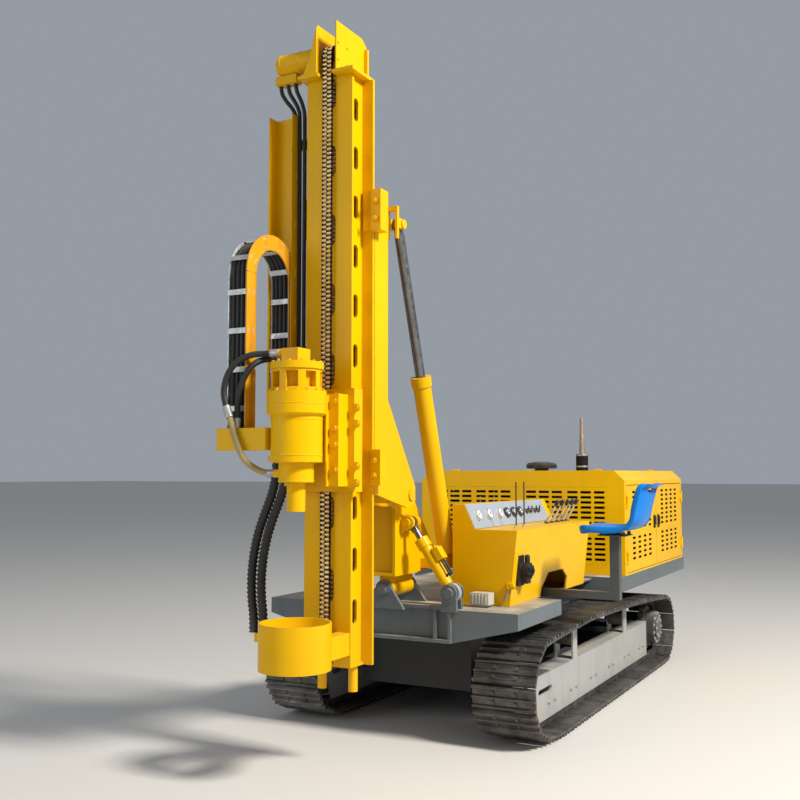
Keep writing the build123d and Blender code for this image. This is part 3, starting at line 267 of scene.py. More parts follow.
# Bolts. Hexagon heads on washers hold the rollers, wheels and covers; each body's bolts are one
# mesh, grown from a table of places and the directions that they face.
def new_tree(name, **inputs):
    """A geometry tree with named inputs, what adds and joins its nodes, and the inputs."""
    tree = bpy.data.node_groups.new(name, "GeometryNodeTree")
    for key, kind in inputs.items():
        tree.interface.new_socket(key.replace("_", " ").title(), in_out="INPUT",
                                  socket_type="NodeSocket" + kind)
    tree.interface.new_socket("Mesh", in_out="OUTPUT", socket_type="NodeSocketGeometry")
    return tree, tree.nodes.new, tree.links.new, tree.nodes.new("NodeGroupInput").outputs


def ended(tree, geometry, finish):
    """The end of a tree: its copies are made real and get their finish."""
    real = tree.nodes.new("GeometryNodeRealizeInstances")
    paint = tree.nodes.new("GeometryNodeSetMaterial")
    result = tree.nodes.new("NodeGroupOutput")
    for start, end in ((geometry, real.inputs["Geometry"]),
                       (real.outputs["Geometry"], paint.inputs["Geometry"]),
                       (finish, paint.inputs["Material"]),
                       (paint.outputs["Geometry"], result.inputs[0])):
        tree.links.new(start, end)
    return tree


def bolt_tree():
    """A hexagon head on a washer at each point, turned to the point's facing."""
    tree, add, join, given = new_tree("bolt heads", points="Geometry", head_radius="Float",
                                      head_height="Float", finish="Material")
    both = add("GeometryNodeJoinGeometry")
    for sides, wide, tall in ((12, 1.35, 0.25), (6, 1.0, 1.0)):
        head = add("GeometryNodeMeshCylinder")
        head.inputs["Vertices"].default_value = sides
        join(worked(tree, "MULTIPLY", given["Head Radius"], wide), head.inputs["Radius"])
        join(worked(tree, "MULTIPLY", given["Head Height"], 2 * tall), head.inputs["Depth"])
        join(head.outputs["Mesh"], both.inputs[0])
    facing = add("GeometryNodeInputNamedAttribute")
    facing.data_type = "FLOAT_VECTOR"
    facing.inputs["Name"].default_value = "facing"
    turn = add("FunctionNodeAlignRotationToVector")
    turn.axis = "Z"
    join(facing.outputs["Attribute"], turn.inputs["Vector"])
    copies = add("GeometryNodeInstanceOnPoints")
    join(given["Points"], copies.inputs["Points"])
    join(both.outputs[0], copies.inputs["Instance"])
    join(turn.outputs["Rotation"], copies.inputs["Rotation"])
    return ended(tree, copies.outputs["Instances"], given["Finish"])


def riding(name, mesh, body, smooth=None):
    """A mesh that rides on a body, smooth up to an angle where one is given."""
    if smooth:
        mesh.polygons.foreach_set("use_smooth", [True] * len(mesh.polygons))
        mesh.set_sharp_from_angle(angle=radians(smooth))
    made = placed(name, mesh)
    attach(made, body)
    return made


def grown(name, data, tree, body, slot, smooth=None, **sizes):
    """Plain mesh that a tree grows from data, riding on a body."""
    seed = placed(name + "_seed", data)
    grow = seed.modifiers.new("grow", "NODES")
    grow.node_group = tree
    for item in tree.interface.items_tree:
        key = item.name.lower().replace(" ", "_")
        if item.item_type == "SOCKET" and item.in_out == "INPUT" and key in sizes:
            grow[item.identifier] = sizes[key]
    bpy.context.view_layer.update()
    view = bpy.context.evaluated_depsgraph_get()
    mesh = bpy.data.meshes.new_from_object(seed.evaluated_get(view))
    bpy.data.objects.remove(seed)
    return riding(name, mesh, body, smooth)


bolt_heads = bolt_tree()


def bolts(name, body, rows, radius, height, finish=plain_steel, slot="steel"):
    """Bolt heads at the places in rows, each a place and the direction that it faces."""
    points = bpy.data.meshes.new(name + "_places")
    points.from_pydata([place for place, _ in rows], [], [])
    facing = points.attributes.new("facing", "FLOAT_VECTOR", "POINT")
    for item, (_, direction) in zip(facing.data, rows):
        item.vector = direction
    return grown(name, points, bolt_heads, body, slot, head_radius=radius, head_height=height,
                 finish=finish)


def ring_of(centre, radius, count, direction):
    """Places round a centre, all facing one way, for bolts()."""
    aim = Vector(direction)
    side = aim.orthogonal().normalized()
    found = []
    for i in range(count):
        turn = Matrix.Rotation(2 * pi * i / count, 3, aim)
        found.append((tuple(Vector(centre) + turn @ side * radius), tuple(aim)))
    return found


track_middle, frame_half = 0.733, 0.067
sprocket_at, drive_rings = (1.495, 0.285), ((0.122, 0.075, 8), (0.108, 0.118, 12))
roller_first, roller_step, roller_count = -1.110, 0.440, 6
roller_bolt_z, roller_bolt_half = 0.178, 0.055
track_bolts = []
for side in (1, -1):
    facing = (side, 0, 0)
    for i in range(roller_count):
        y = roller_first + i * roller_step
        track_bolts += [((side * (track_middle + frame_half), y + dy, roller_bolt_z), facing)
                        for dy in (-roller_bolt_half, roller_bolt_half)]
    for out, radius, count in drive_rings:
        track_bolts += ring_of((side * (track_middle + out), *sprocket_at), radius, count, facing)
bolts("track_frame_bolts", "chassis", track_bolts, radius=0.011, height=0.009)


# Tracks. Each is a chain of forged links with a pressed shoe plate bolted on every link. A shoe
# has three bars across it, and their edges are worn bright.
def loop_tree():
    """Copies of one link along a closed curve, each turned to point at the next."""
    tree, add, join, given = new_tree("links along a loop", loop="Geometry", link="Object",
                                      count="Int", finish="Material")
    even = add("GeometryNodeResampleCurve")
    join(given["Loop"], even.inputs["Curve"])
    join(given["Count"], even.inputs["Count"])
    index, here = add("GeometryNodeInputIndex"), add("GeometryNodeInputPosition")
    after = worked(tree, "ADD", index.outputs[0], 1)
    there = add("GeometryNodeFieldAtIndex")
    there.data_type, there.domain = "FLOAT_VECTOR", "POINT"
    join(worked(tree, "MODULO", after, given["Count"]), there.inputs["Index"])
    join(here.outputs[0], there.inputs["Value"])
    step = add("ShaderNodeVectorMath")
    step.operation = "SUBTRACT"
    join(there.outputs[0], step.inputs[0])
    join(here.outputs[0], step.inputs[1])
    split, spin = add("ShaderNodeSeparateXYZ"), add("ShaderNodeCombineXYZ")
    join(step.outputs[0], split.inputs[0])
    join(worked(tree, "ARCTAN2", split.outputs["Z"], split.outputs["Y"]), spin.inputs["X"])
    turn = add("FunctionNodeEulerToRotation")
    join(spin.outputs[0], turn.inputs[0])
    link = add("GeometryNodeObjectInfo")
    join(given["Link"], link.inputs["Object"])
    copies = add("GeometryNodeInstanceOnPoints")
    join(even.outputs["Curve"], copies.inputs["Points"])
    join(link.outputs["Geometry"], copies.inputs["Instance"])
    join(turn.outputs[0], copies.inputs["Rotation"])
    return ended(tree, copies.outputs["Instances"], given["Finish"])


def block(shape, low, high):
    """A box between two corners in a bmesh."""
    size = [abs(b - a) for a, b in zip(low, high)]
    middle = [(a + b) / 2 for a, b in zip(low, high)]
    place = Matrix.Translation(middle) @ Matrix.Diagonal((*size, 1))
    return bmesh.ops.create_cube(shape, size=1, matrix=place)["verts"]


def rod(shape, start, end, radius, sides=16, end_radius=None):
    """A round bar, or a cone, between two points in a bmesh."""
    run = Vector(end) - Vector(start)
    place = (Matrix.Translation((Vector(start) + Vector(end)) / 2)
             @ run.to_track_quat("Z", "Y").to_matrix().to_4x4())
    top = radius if end_radius is None else end_radius
    bmesh.ops.create_cone(shape, cap_ends=True, segments=sides, radius1=radius, radius2=top,
                          depth=run.length, matrix=place)


def meshed(name, shape):
    """A mesh made from a bmesh, which is freed."""
    mesh = bpy.data.meshes.new(name)
    shape.to_mesh(mesh)
    shape.free()
    return mesh


def curved(name, kind, points):
    """A curve with one spline of a kind on points, and that spline."""
    curve = bpy.data.curves.new(name, "CURVE")
    curve.dimensions = "3D"
    spline = curve.splines.new(kind)
    spline.points.add(len(points) - 1)
    for point, place in zip(spline.points, points):
        point.co = (*place, 1)
    return curve, spline


def linked_loop(name, points, link, body, count, finish, replaced):
    """Copies of a link along a closed line of points, in place of a node."""
    loop, spline = curved(name + "_loop", "POLY", points)
    spline.use_cyclic_u = True
    made = grown(name, loop, link_loop, body, "track_steel", link=link, count=count,
                 finish=finish)
    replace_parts(made, replaced)


def belt_points(x, wheels, fine=radians(6)):
    """Points on a belt round wheels given as (Y, Z, radius), clockwise seen from +X."""
    normals = []
    for (y0, z0, r0), (y1, z1, r1) in zip(wheels, wheels[1:] + wheels[:1]):
        run = hypot(y1 - y0, z1 - z0)
        normals.append(atan2(z1 - z0, y1 - y0) + acos((r0 - r1) / run))
    points = []
    for i, (y, z, r) in enumerate(wheels):
        turn = (normals[i - 1] - normals[i]) % (2 * pi)
        steps = max(2, round(turn / fine))
        points += [(x, y + r * cos(normals[i - 1] - turn * j / steps),
                    z + r * sin(normals[i - 1] - turn * j / steps)) for j in range(steps + 1)]
    return points


track_wheels = [(-1.475, 0.325, 0.268), (-0.625, 0.563, 0.060), (0.625, 0.530, 0.060),
                (1.495, 0.285, 0.248), (1.330, 0.092, 0.060), (-1.310, 0.092, 0.060)]
shoe_pitch, shoe_count, shoe_half, shoe_plate, bar_top = 0.1455, 52, 0.196, 0.012, 0.032
bar_side, bar_flank = 0.9 * bar_top, 0.8 * bar_top
shoe_shape = [(0.02, 0.0), (0.03, shoe_plate), (0.10, bar_flank), (0.135, bar_top),
              (0.17, bar_flank), (0.21, shoe_plate), (0.42, shoe_plate), (0.465, bar_side),
              (0.50, bar_top), (0.535, bar_side), (0.58, shoe_plate), (0.80, shoe_plate),
              (0.845, bar_side), (0.88, bar_top), (0.915, bar_side), (0.955, shoe_plate),
              (0.975, 0.0)]
shoe = bmesh.new()
ends = [[shoe.verts.new((x, share * shoe_pitch, height)) for share, height in shoe_shape]
        for x in (-shoe_half, shoe_half)]
for i, j in zip(range(len(shoe_shape)), list(range(1, len(shoe_shape))) + [0]):
    shoe.faces.new((ends[0][i], ends[0][j], ends[1][j], ends[1][i]))
shoe.faces.new(ends[0][::-1])
shoe.faces.new(ends[1])
link_x, link_tall, bolt_radius, pin_radius, pin_half = 0.036, 0.050, 0.013, 0.017, 0.047
for x in (-link_x, link_x):
    outer_x, bolt_x = x * 1.22, x * 1.9
    block(shoe, (x - 0.009, 0.004, -link_tall), (x + 0.009, shoe_pitch * 0.62, -0.002))
    block(shoe, (outer_x - 0.007, shoe_pitch * 0.5, -link_tall + 0.006),
          (outer_x + 0.007, shoe_pitch * 1.05, -0.004))
    for share in (0.31, 0.69):
        y = share * shoe_pitch
        rod(shoe, (bolt_x, y, shoe_plate - 0.002), (bolt_x, y, shoe_plate + 0.011),
            bolt_radius, 6)
rod(shoe, (-pin_half, 0.006, -0.026), (pin_half, 0.006, -0.026), pin_radius, 10)
bmesh.ops.recalc_face_normals(shoe, faces=shoe.faces)
shoe_link = bpy.data.objects.new("shoe_and_link", meshed("shoe_and_link", shoe))
link_loop = loop_tree()
for side, x in (("left", track_middle), ("right", -track_middle)):
    linked_loop("track_shoes_" + side, belt_points(x, track_wheels), shoe_link, "chassis",
                shoe_count, shoe_steel, "track_" + side)


# Chassis and deck. Welded beams and plate; the deck is in grey paint, with its top and the wings
# over the tracks pale with dried dust, and the beams under it are coloured near-black as painted
# shade.
# Near-black painted shade, for the beams under the deck and the core within the motor's cage.
painted_shade_black = painted("chassis_black", (0.012, 0.012, 0.013), (0.02, 0.02, 0.02),
                      (0.06, 0.045, 0.035), (0.10, 0.085, 0.065), near_ground=0.1)
coat(painted_shade_black, "chassis_beams")
coat(grey, "deck_frame")


# Engine housing. Folded sheet in yellow paint with rows of ventilation slots, two hinged doors on
# each side, and the engine standing inside on the deck. Behind the grille and the doors' faces the
# sheet is coloured near-black as painted shade.
def tinted(source, name, axis, test, limit, colour):
    """A finish that turns to one colour where the size of a coordinate passes a test."""
    finish = source.copy()
    finish.name = name
    tree = finish.node_tree
    base = tree.nodes["Principled BSDF"].inputs["Base Color"]
    place, parts = tree.nodes.new("ShaderNodeTexCoord"), tree.nodes.new("ShaderNodeSeparateXYZ")
    tree.links.new(place.outputs["Object"], parts.inputs[0])
    past = worked(tree, test, worked(tree, "ABSOLUTE", parts.outputs[axis]), limit)
    tree.links.new(mixed(tree, past, base.links[0].from_socket, colour), base)
    return finish


def plain(name, colour, rough, speckle=0.25, clear=0.0, dust=0.30, shine=0.5):
    """Moulded plastic or rubber: one colour, a little uneven, with a fine grain."""
    finish, tree, shader = new_finish(name)
    base = mixed(tree, noise(tree, 5.0), colour, tuple(c * (1 - speckle) for c in colour))
    share = dusted(tree, noise(tree, 6.0, low=0.3, high=0.75), dust, dust)
    give(tree, mixed(tree, share, base, dust_colour), shader.inputs["Base Color"])
    shader.inputs["Specular IOR Level"].default_value = shine
    shader.inputs["Roughness"].default_value = rough
    shader.inputs["Coat Weight"].default_value = clear
    grained(tree, shader, 160.0, 0.15, 0.002)
    return finish


def solid(name, shape, finish, body, smooth=35, bevel=0.0):
    """A bmesh made into a piece that rides on a body."""
    bmesh.ops.recalc_face_normals(shape, faces=shape.faces)
    mesh = meshed(name, shape)
    mesh.materials.append(finish)
    made = riding(name, mesh, body, smooth)
    if bevel:
        rounding = made.modifiers.new("rounded", "BEVEL")
        rounding.width, rounding.segments = bevel, 2
        rounding.limit_method, rounding.angle_limit = "ANGLE", radians(40)
    return made


# Near-black painted shade for the sheet behind the grille and within the doors.
inside, grille_back, door_back = (0.004, 0.004, 0.004), 0.4165, 0.8685
engine_iron = bare_metal("engine_iron", (0.05, 0.055, 0.06), (0.10, 0.105, 0.11),
                         (0.12, 0.07, 0.04), rough=0.55)
black_plastic = plain("black_plastic", (0.018, 0.018, 0.02), 0.42)
coat(yellow, "engine_housing")
coat(tinted(yellow, "grille_yellow", "Y", "GREATER_THAN", grille_back, inside),
     "housing_front_grille")
coat(tinted(yellow, "door_yellow", "X", "LESS_THAN", door_back, inside),
     "housing_door_left_front", "housing_door_left_rear", "housing_door_right_front",
     "housing_door_right_rear")
coat(engine_iron, "engine_block")
door_face, latch_pin_z = 0.8705, 1.153
latch_steps = ((0.005, 0.030, 1.140, 1.250), (0.016, 0.017, 1.165, 1.238))
for side, way in (("left", 1), ("right", -1)):
    face = way * door_face
    for part, y in (("front", 1.345), ("rear", 1.480)):
        latch = bmesh.new()
        for out, half, low, high in latch_steps:
            block(latch, (face, y - half, low), (face + way * out, y + half, high))
        rod(latch, (face, y, latch_pin_z), (face + way * 0.012, y, latch_pin_z), 0.008)
        solid(f"door_latch_{side}_{part}", latch, black_plastic, f"door_{side}_{part}",
              bevel=0.002)
roof_top, pad_top, pad_x, pad_places = 1.6222, 1.634, 0.62, (0.56, 2.27)
roof_pads = bmesh.new()
for x in (-pad_x, pad_x):
    for y in pad_places:
        block(roof_pads, (x - 0.03, y - 0.012, roof_top), (x + 0.03, y + 0.012, pad_top))
solid("roof_pads", roof_pads, yellow, "chassis", bevel=0.002)


# Exhaust and air intake. The silencer is black steel with a browned tail pipe and two clamps, and
# the intake is a black moulded cap.
pipe_x, pipe_y, silencer_top, clamp_tall = 0.440, 0.725, 1.757, 0.012
hot_steel = bare_metal("browned_steel", (0.34, 0.27, 0.20), (0.46, 0.38, 0.30),
                       (0.22, 0.12, 0.06), rough=0.5, rusted=0.5)
coat(tinted(hot_steel, "exhaust_steel", "Z", "LESS_THAN", silencer_top, (0.018, 0.018, 0.02)),
     "exhaust_stack")
coat(black_plastic, "intake_cap")
clamp = bmesh.new()
for z in (1.650, 1.742):
    rod(clamp, (pipe_x, pipe_y, z), (pipe_x, pipe_y, z + clamp_tall), 0.0505, 32)
    block(clamp, (pipe_x + 0.048, pipe_y - 0.007, z),
          (pipe_x + 0.062, pipe_y + 0.007, z + clamp_tall))
solid("exhaust_clamps", clamp, plain_steel, "chassis", bevel=0.001)


# Control console. A sheet steel desk on the deck, in yellow paint, with a bare grey panel on its
# slope that holds three pale gauges, three dark ones and a row of switches.
def on_slope(y, share, out=0.0):
    """Point on the console's sloped face, share of the way up it, standing out from it."""
    return slope_foot + Vector((0, y, 0)) + slope * share + slope_out * out


coat(yellow, "control_console")
slope_foot, slope = Vector((0.465, 0, 1.256)), Vector((-0.070, 0, 0.152))
slope_out = Vector((slope.z, 0, -slope.x)).normalized()
panel_grey = plain("gauge_panel_grey", (0.33, 0.38, 0.45), 0.45, speckle=0.1)
panel = bmesh.new()
corners = [panel.verts.new(on_slope(y, share, out)) for y in (-1.526, -0.16)
           for share in (0.01, 0.985) for out in (0.001, 0.005)]
bmesh.ops.convex_hull(panel, input=corners)
solid("gauge_panel", panel, panel_grey, "chassis", bevel=0.002)

chrome = bare_metal("chrome", (0.16, 0.16, 0.17), (0.24, 0.24, 0.245), (0.10, 0.08, 0.06),
                    rough=0.16, rusted=0.08, dust_top=0.1)
dial_white = plain("dial_white", (0.82, 0.83, 0.82), 0.3, speckle=0.05, clear=0.6)
dial_black = plain("dial_black", (0.02, 0.02, 0.022), 0.25, speckle=0.05, clear=0.6)
gauge_share, gauge_foot, gauge_front = 0.52, 0.004, 0.020
pale_rows, pale_radius = (-1.420, -1.245, -1.065), 0.034
dark_rows, dark_radius = (-0.930, -0.810, -0.690), 0.036
rim_out, ring_out, face_out, needle_out = 0.0230, 0.0233, 0.0235, 0.0255
rims, faces, dark_faces, marks = (bmesh.new() for _ in range(4))
for y in pale_rows + dark_rows:
    is_pale = y in pale_rows
    radius = pale_radius if is_pale else dark_radius
    middle = on_slope(y, gauge_share, gauge_front)
    rod(faces if is_pale else dark_faces, on_slope(y, gauge_share, gauge_foot), middle, radius, 32)
    rod(rims, middle, on_slope(y, gauge_share, rim_out), radius, 32, radius * 0.92)
    rod(faces, middle, on_slope(y, gauge_share, face_out), radius * (0.88 if is_pale else 0.45), 32)
    if not is_pale:
        rod(dark_faces, middle, on_slope(y, gauge_share, ring_out), radius * 0.86, 32)
    tip = on_slope(y + 0.6 * radius, gauge_share, needle_out) + slope.normalized() * 0.35 * radius
    rod(marks, on_slope(y - 0.1 * radius, gauge_share, needle_out), tip, 0.0015, 6)
    rod(marks, on_slope(y, gauge_share, 0.022), on_slope(y, gauge_share, 0.027), 0.004, 12)
for y in (-0.56, -0.49, -0.40, -0.33):
    foot, top = on_slope(y, 0.50, gauge_foot), on_slope(y, 0.50, 0.022)
    rod(marks, foot, top, 0.016, 16)
    rod(marks, top, on_slope(y + 0.01, 0.66, 0.034), 0.005, 8)
    rod(rims, foot, on_slope(y, 0.50, 0.010), 0.021, 6)
solid("gauge_rims", rims, chrome, "chassis", bevel=0.0008)
solid("gauge_faces_pale", faces, dial_white, "chassis")
solid("gauge_faces_dark", dark_faces, dial_black, "chassis")
solid("gauge_needles", marks, dial_black, "chassis")


# Valve levers. Five bright rods with black knobs and boots lean from the console's ledge to the
# seat, and two tall thin rods stand beside the gauges.
lever_steel = bare_metal("lever_steel", (0.66, 0.60, 0.44), (0.80, 0.74, 0.58),
                         (0.30, 0.20, 0.10), rough=0.35)
levers, knobs = bmesh.new(), bmesh.new()
rod_x, lever_x, ledge, tall_rod_top, lean = 0.632, 0.602, 1.2563, 1.5460, radians(27)
lever_way = Vector((sin(lean), 0.05, cos(lean))).normalized()
lever_long, knob_foot, knob_rim, knob_top = 0.135, 0.134, 0.172, 0.180
for y in (-0.600, -0.490, -0.380, -0.270, -0.175):
    foot = Vector((lever_x, y, ledge))
    rod(levers, foot, foot + lever_way * lever_long, 0.0065, 10)
    rod(levers, foot + Vector((-0.028, 0.012, 0.0)), foot + lever_way * 0.085, 0.004, 8)
    rod(knobs, foot, foot + Vector((0, 0, 0.012)), 0.019, 16, 0.010)
    rod(knobs, foot + lever_way * knob_foot, foot + lever_way * knob_rim, 0.0120, 16, 0.0145)
    rod(knobs, foot + lever_way * knob_rim, foot + lever_way * knob_top, 0.0145, 16, 0.009)
for y in (-1.260, -1.120):
    rod(knobs, (rod_x, y, ledge), (rod_x, y, tall_rod_top), 0.0042, 10)
    rod(levers, (rod_x, y, ledge), (rod_x, y, ledge + 0.0157), 0.013, 6)
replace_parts(solid("valve_levers", levers, lever_steel, "chassis"), "control_levers")
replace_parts(solid("lever_knobs_and_boots", knobs, black_plastic, "chassis",
                  bevel=0.002), "control_levers")


# Gear pump and tap. The pump on the console's outer side is a cast body with a ribbed cover, a
# mounting plate and one fitting on top; the tap with its slanted handle sits low on the corner.
pump_iron = bare_metal("pump_iron", (0.02, 0.021, 0.023), (0.06, 0.062, 0.065),
                       (0.08, 0.05, 0.035), rough=0.42, rusted=0.25, dust_top=0.2)
pump_at = Vector((0.722, -1.405, 1.010))
pump = bmesh.new()


def pump_bar(start, end, radius, sides, end_radius=None):
    """A round part of the pump, between two places measured from the pump's middle."""
    rod(pump, pump_at + Vector(start), pump_at + Vector(end), radius, sides, end_radius)


block(pump, pump_at + Vector((-0.012, -0.062, -0.092)), pump_at + Vector((0.006, 0.030, 0.092)))
pump_bar((0, 0, 0), (0.055, 0, 0), 0.046, 28)
pump_bar((0.055, 0, 0), (0.070, 0, 0), 0.040, 28, 0.034)
pump_bar((0.070, 0, 0), (0.080, 0, 0), 0.016, 16)
rib_circle, cover_ribs = 0.040, 6
for i in range(cover_ribs):
    turn = 2 * pi * (i + 0.5) / cover_ribs
    y, z = rib_circle * cos(turn), rib_circle * sin(turn)
    pump_bar((0.04, y, z), (0.066, y, z), 0.008, 6)
block(pump, pump_at + Vector((0, -0.030, -0.078)), pump_at + Vector((0.048, 0.030, -0.03)))
pump_bar((0.030, 0.018, 0.035), (0.030, 0.018, 0.088), 0.017, 6)
pump_bar((0.030, 0.018, 0.070), (0.030, 0.018, 0.094), 0.012, 16)
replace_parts(solid("gear_pump", pump, pump_iron, "chassis", bevel=0.002),
            "console_valve")
tap, grip = bmesh.new(), bmesh.new()
tap_y = -1.540
block(tap, (0.676, -1.548, 0.905), (0.722, -1.5285, 0.945))
rod(tap, (0.700, tap_y, 0.925), (0.730, tap_y, 0.925), 0.011, 16)
solid("console_tap", tap, yellow, "chassis", bevel=0.003)
rod(grip, (0.688, tap_y, 0.905), (0.664, tap_y, 0.838), 0.007, 12, 0.010)
solid("tap_handle", grip, hot_steel, "chassis", bevel=0.002)


# Deck box. A small closed box in cream paint, with upright ribs on its front, stands on the deck's
# front corner.
deck_cream = plain("deck_box_cream", (0.52, 0.51, 0.44), 0.6, speckle=0.2)
coat(deck_cream, "deck_box")
box_low, box_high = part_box("deck_box")
rib_count, rib_inset = 5, 0.018
rib_step = (box_high[0] - box_low[0] - 2 * rib_inset) / (rib_count - 1)
ribs = bmesh.new()
for i in range(rib_count):
    x = box_low[0] + rib_inset + i * rib_step
    block(ribs, (x - 0.006, box_low[1] - 0.004, box_low[2] + 0.020),
          (x + 0.006, box_low[1] + 0.002, box_high[2] - 0.006))
solid("deck_box_ribs", ribs, deck_cream, "chassis", bevel=0.002)


# Operator's seat. One moulded shell in bright blue plastic with curled sides, a rolled rim and a
# slot for the hand, bolted to a black bracket on the post.
blue = plain("seat_blue", (0.001, 0.19, 0.64), 0.26, speckle=0.10, dust=0.05, shine=0.25)
seat_y, seat_z, rim_drop, rim_wall, shell_wall, curl_power = -0.905, 1.205, 0.050, 0.010, 0.013, 2.2
across = (-1.0, -0.8, -0.5, 0.0, 0.5, 0.8, 1.0)
seat_rows = [  # X, height, half width, curl of the edges
    (0.962, 0.052, 0.135, 0.006), (0.995, 0.068, 0.185, 0.014), (1.100, 0.046, 0.204, 0.024),
    (1.260, 0.038, 0.205, 0.034), (1.345, 0.066, 0.205, 0.060), (1.378, 0.140, 0.205, 0.080),
    (1.398, 0.225, 0.205, 0.078), (1.4105, 0.277, 0.202, 0.076), (1.4165, 0.303, 0.198, 0.072),
    (1.421, 0.330, 0.178, 0.056)]
last_row, last_column = len(seat_rows) - 1, len(across) - 1
seat_shape = bmesh.new()
upper, lower, up_ways = [], [], []
for i, (x, height, half, curl) in enumerate(seat_rows):
    before, after = seat_rows[max(i - 1, 0)], seat_rows[min(i + 1, last_row)]
    run = Vector((after[0] - before[0], 0, after[1] - before[1])).normalized()
    up = Vector((-run.z, 0, run.x))
    over, under = [], []
    for j, u in enumerate(across):
        place = Vector((x, seat_y + u * half, seat_z + height)) + up * curl * abs(u) ** curl_power
        out = Vector((0, (j == last_column) - (j == 0), 0)) + run * ((i == last_row) - (i == 0))
        out = out.normalized() if out.length else out
        over.append(seat_shape.verts.new(place))
        under.append(seat_shape.verts.new(place - up * shell_wall - out * rim_wall))
    upper.append(over)
    lower.append(under)
    up_ways.append(up)
slot_row, slot_columns = 7, (2, 3)
for i in range(last_row):
    for j in range(last_column):
        if i == slot_row and j in slot_columns:
            continue
        for grid in (upper, lower):
            seat_shape.faces.new((grid[i][j], grid[i][j + 1], grid[i + 1][j + 1], grid[i + 1][j]))
slot_edge = [(slot_row, 2), (slot_row, 3), (slot_row, 4), (slot_row + 1, 4), (slot_row + 1, 3),
             (slot_row + 1, 2)]
for (i, j), (k, m) in zip(slot_edge, slot_edge[1:] + slot_edge[:1]):
    seat_shape.faces.new((upper[i][j], upper[k][m], lower[k][m], lower[i][j]))
rim = [(i, 0) for i in range(last_row)] + [(last_row, j) for j in range(last_column)]
rim += [(i, last_column) for i in range(last_row, 0, -1)]
rim += [(0, j) for j in range(last_column, 0, -1)]
skirts = []
for i, j in rim:
    top, low = upper[i][j].co, lower[i][j].co
    out = top - low - up_ways[i] * shell_wall
    skirts.append([seat_shape.verts.new(top - up_ways[i] * rim_drop + out * 0.4),
                   seat_shape.verts.new(top - up_ways[i] * rim_drop - out * 0.5)])
for n, (i, j) in enumerate(rim):
    k, m = rim[(n + 1) % len(rim)]
    one, two = skirts[n], skirts[(n + 1) % len(rim)]
    seat_shape.faces.new((upper[i][j], upper[k][m], two[0], one[0]))
    seat_shape.faces.new((one[0], two[0], two[1], one[1]))
    seat_shape.faces.new((one[1], two[1], lower[k][m], lower[i][j]))
seat_shell = solid("seat_shell", seat_shape, blue, "chassis", smooth=180)
rounded_shell = seat_shell.modifiers.new("smoothed", "SUBSURF")
rounded_shell.levels = rounded_shell.render_levels = 2
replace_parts(seat_shell, "operator_seat")

coat(dark_grey, "seat_post")
post_x, mount_low, mount_top, foot_x, foot_y = 1.165, 1.2053, 1.2130, 0.070, 0.07
mount = bmesh.new()
block(mount, (post_x - 0.090, seat_y - 0.090, mount_low),
      (post_x + 0.090, seat_y + 0.090, mount_top))
for x in (post_x - foot_x, post_x + foot_x):
    for y in (seat_y - foot_y, seat_y + foot_y):
        rod(mount, (x, y, mount_top), (x, y, mount_top + 0.020), 0.012, 12)
rod(mount, (post_x, seat_y, mount_top), (post_x, seat_y, mount_top + 0.017), 0.035, 24)
solid("seat_bracket", mount, dark_grey, "chassis", bevel=0.002)


# Tilting frame and its cylinder. Yellow plate work that swings sideways on the deck's pin, held
# by one short cylinder with a bright rod, a valve block and two pipes.
coat(yellow, "tilt_frame", "tilt_cylinder_barrel")
coat(chrome, "tilt_cylinder_rod", "luff_cylinder_rods")
cylinder_y, lug_face, deck_front, tilt_pin_z = -1.780, 0.0442, -1.825, 0.902
low_pin, high_pin = Vector((0.428, cylinder_y, 0.897)), Vector((0.154, cylinder_y, 1.304))
deck_bosses, eye_bosses = bmesh.new(), bmesh.new()
low_steps = (deck_bosses, low_pin, ((0, 0.012, 0.052, 40), (0.012, 0.0245, 0.030, 32)))
high_steps = (eye_bosses, high_pin, ((0, 0.010, 0.043, 36), (0.010, 0.0225, 0.024, 24)))
for shape, pin, steps in (low_steps, high_steps):
    for way in (-1, 1):
        for near, far, radius, sides in steps:
            rod(shape, pin + Vector((0, way * (lug_face + near), 0)),
                pin + Vector((0, way * (lug_face + far), 0)), radius, sides)
for depth, wide in ((0.0255, 0.050), (0.031, 0.041), (0.0575, 0.0285)):
    rod(deck_bosses, (0, deck_front - 0.0252, tilt_pin_z), (0, deck_front - depth, tilt_pin_z),
        wide, 40)
solid("deck_lug_bosses", deck_bosses, grey, "chassis", bevel=0.003)
solid("tilt_eye_bosses", eye_bosses, yellow, "tilt_frame", bevel=0.003)
barrel_eye, eye_half = bmesh.new(), Vector((0, 0.0185, 0))
rod(barrel_eye, low_pin - eye_half, low_pin + eye_half, 0.056, 40)
solid("tilt_barrel_eye", barrel_eye, pale_grey, "tilt_barrel", bevel=0.004)
along = (high_pin - low_pin).normalized()
aside = Vector((along.z, 0, -along.x))
valve, pipes = bmesh.new(), bmesh.new()
body = block(valve, (-0.022, -0.034, -0.040), (0.022, 0.034, 0.040))
frame_turn = Matrix((aside, Vector((0, 1, 0)), along)).transposed().to_4x4()
place = Matrix.Translation(low_pin + along * 0.235 + aside * 0.057) @ frame_turn
bmesh.ops.transform(valve, matrix=place, verts=body)
for y in (-0.018, 0.018):
    start = low_pin + along * 0.200 + aside * 0.055 + Vector((0, y, 0))
    cap = low_pin + along * 0.270 + aside * 0.057 + Vector((0, y, 0))
    rod(pipes, start, start - along * 0.100, 0.007, 12)
    rod(pipes, start - along * 0.095 + aside * 0.004, start - along * 0.105 - aside * 0.024,
        0.007, 12)
    rod(valve, cap, cap + along * 0.016, 0.012, 6)
black_rubber = plain("black_rubber", (0.016, 0.016, 0.016), 0.55)
solid("tilt_valve_block", valve, yellow, "tilt_barrel", bevel=0.003)
solid("tilt_valve_pipes", pipes, black_rubber, "tilt_barrel", smooth=50)


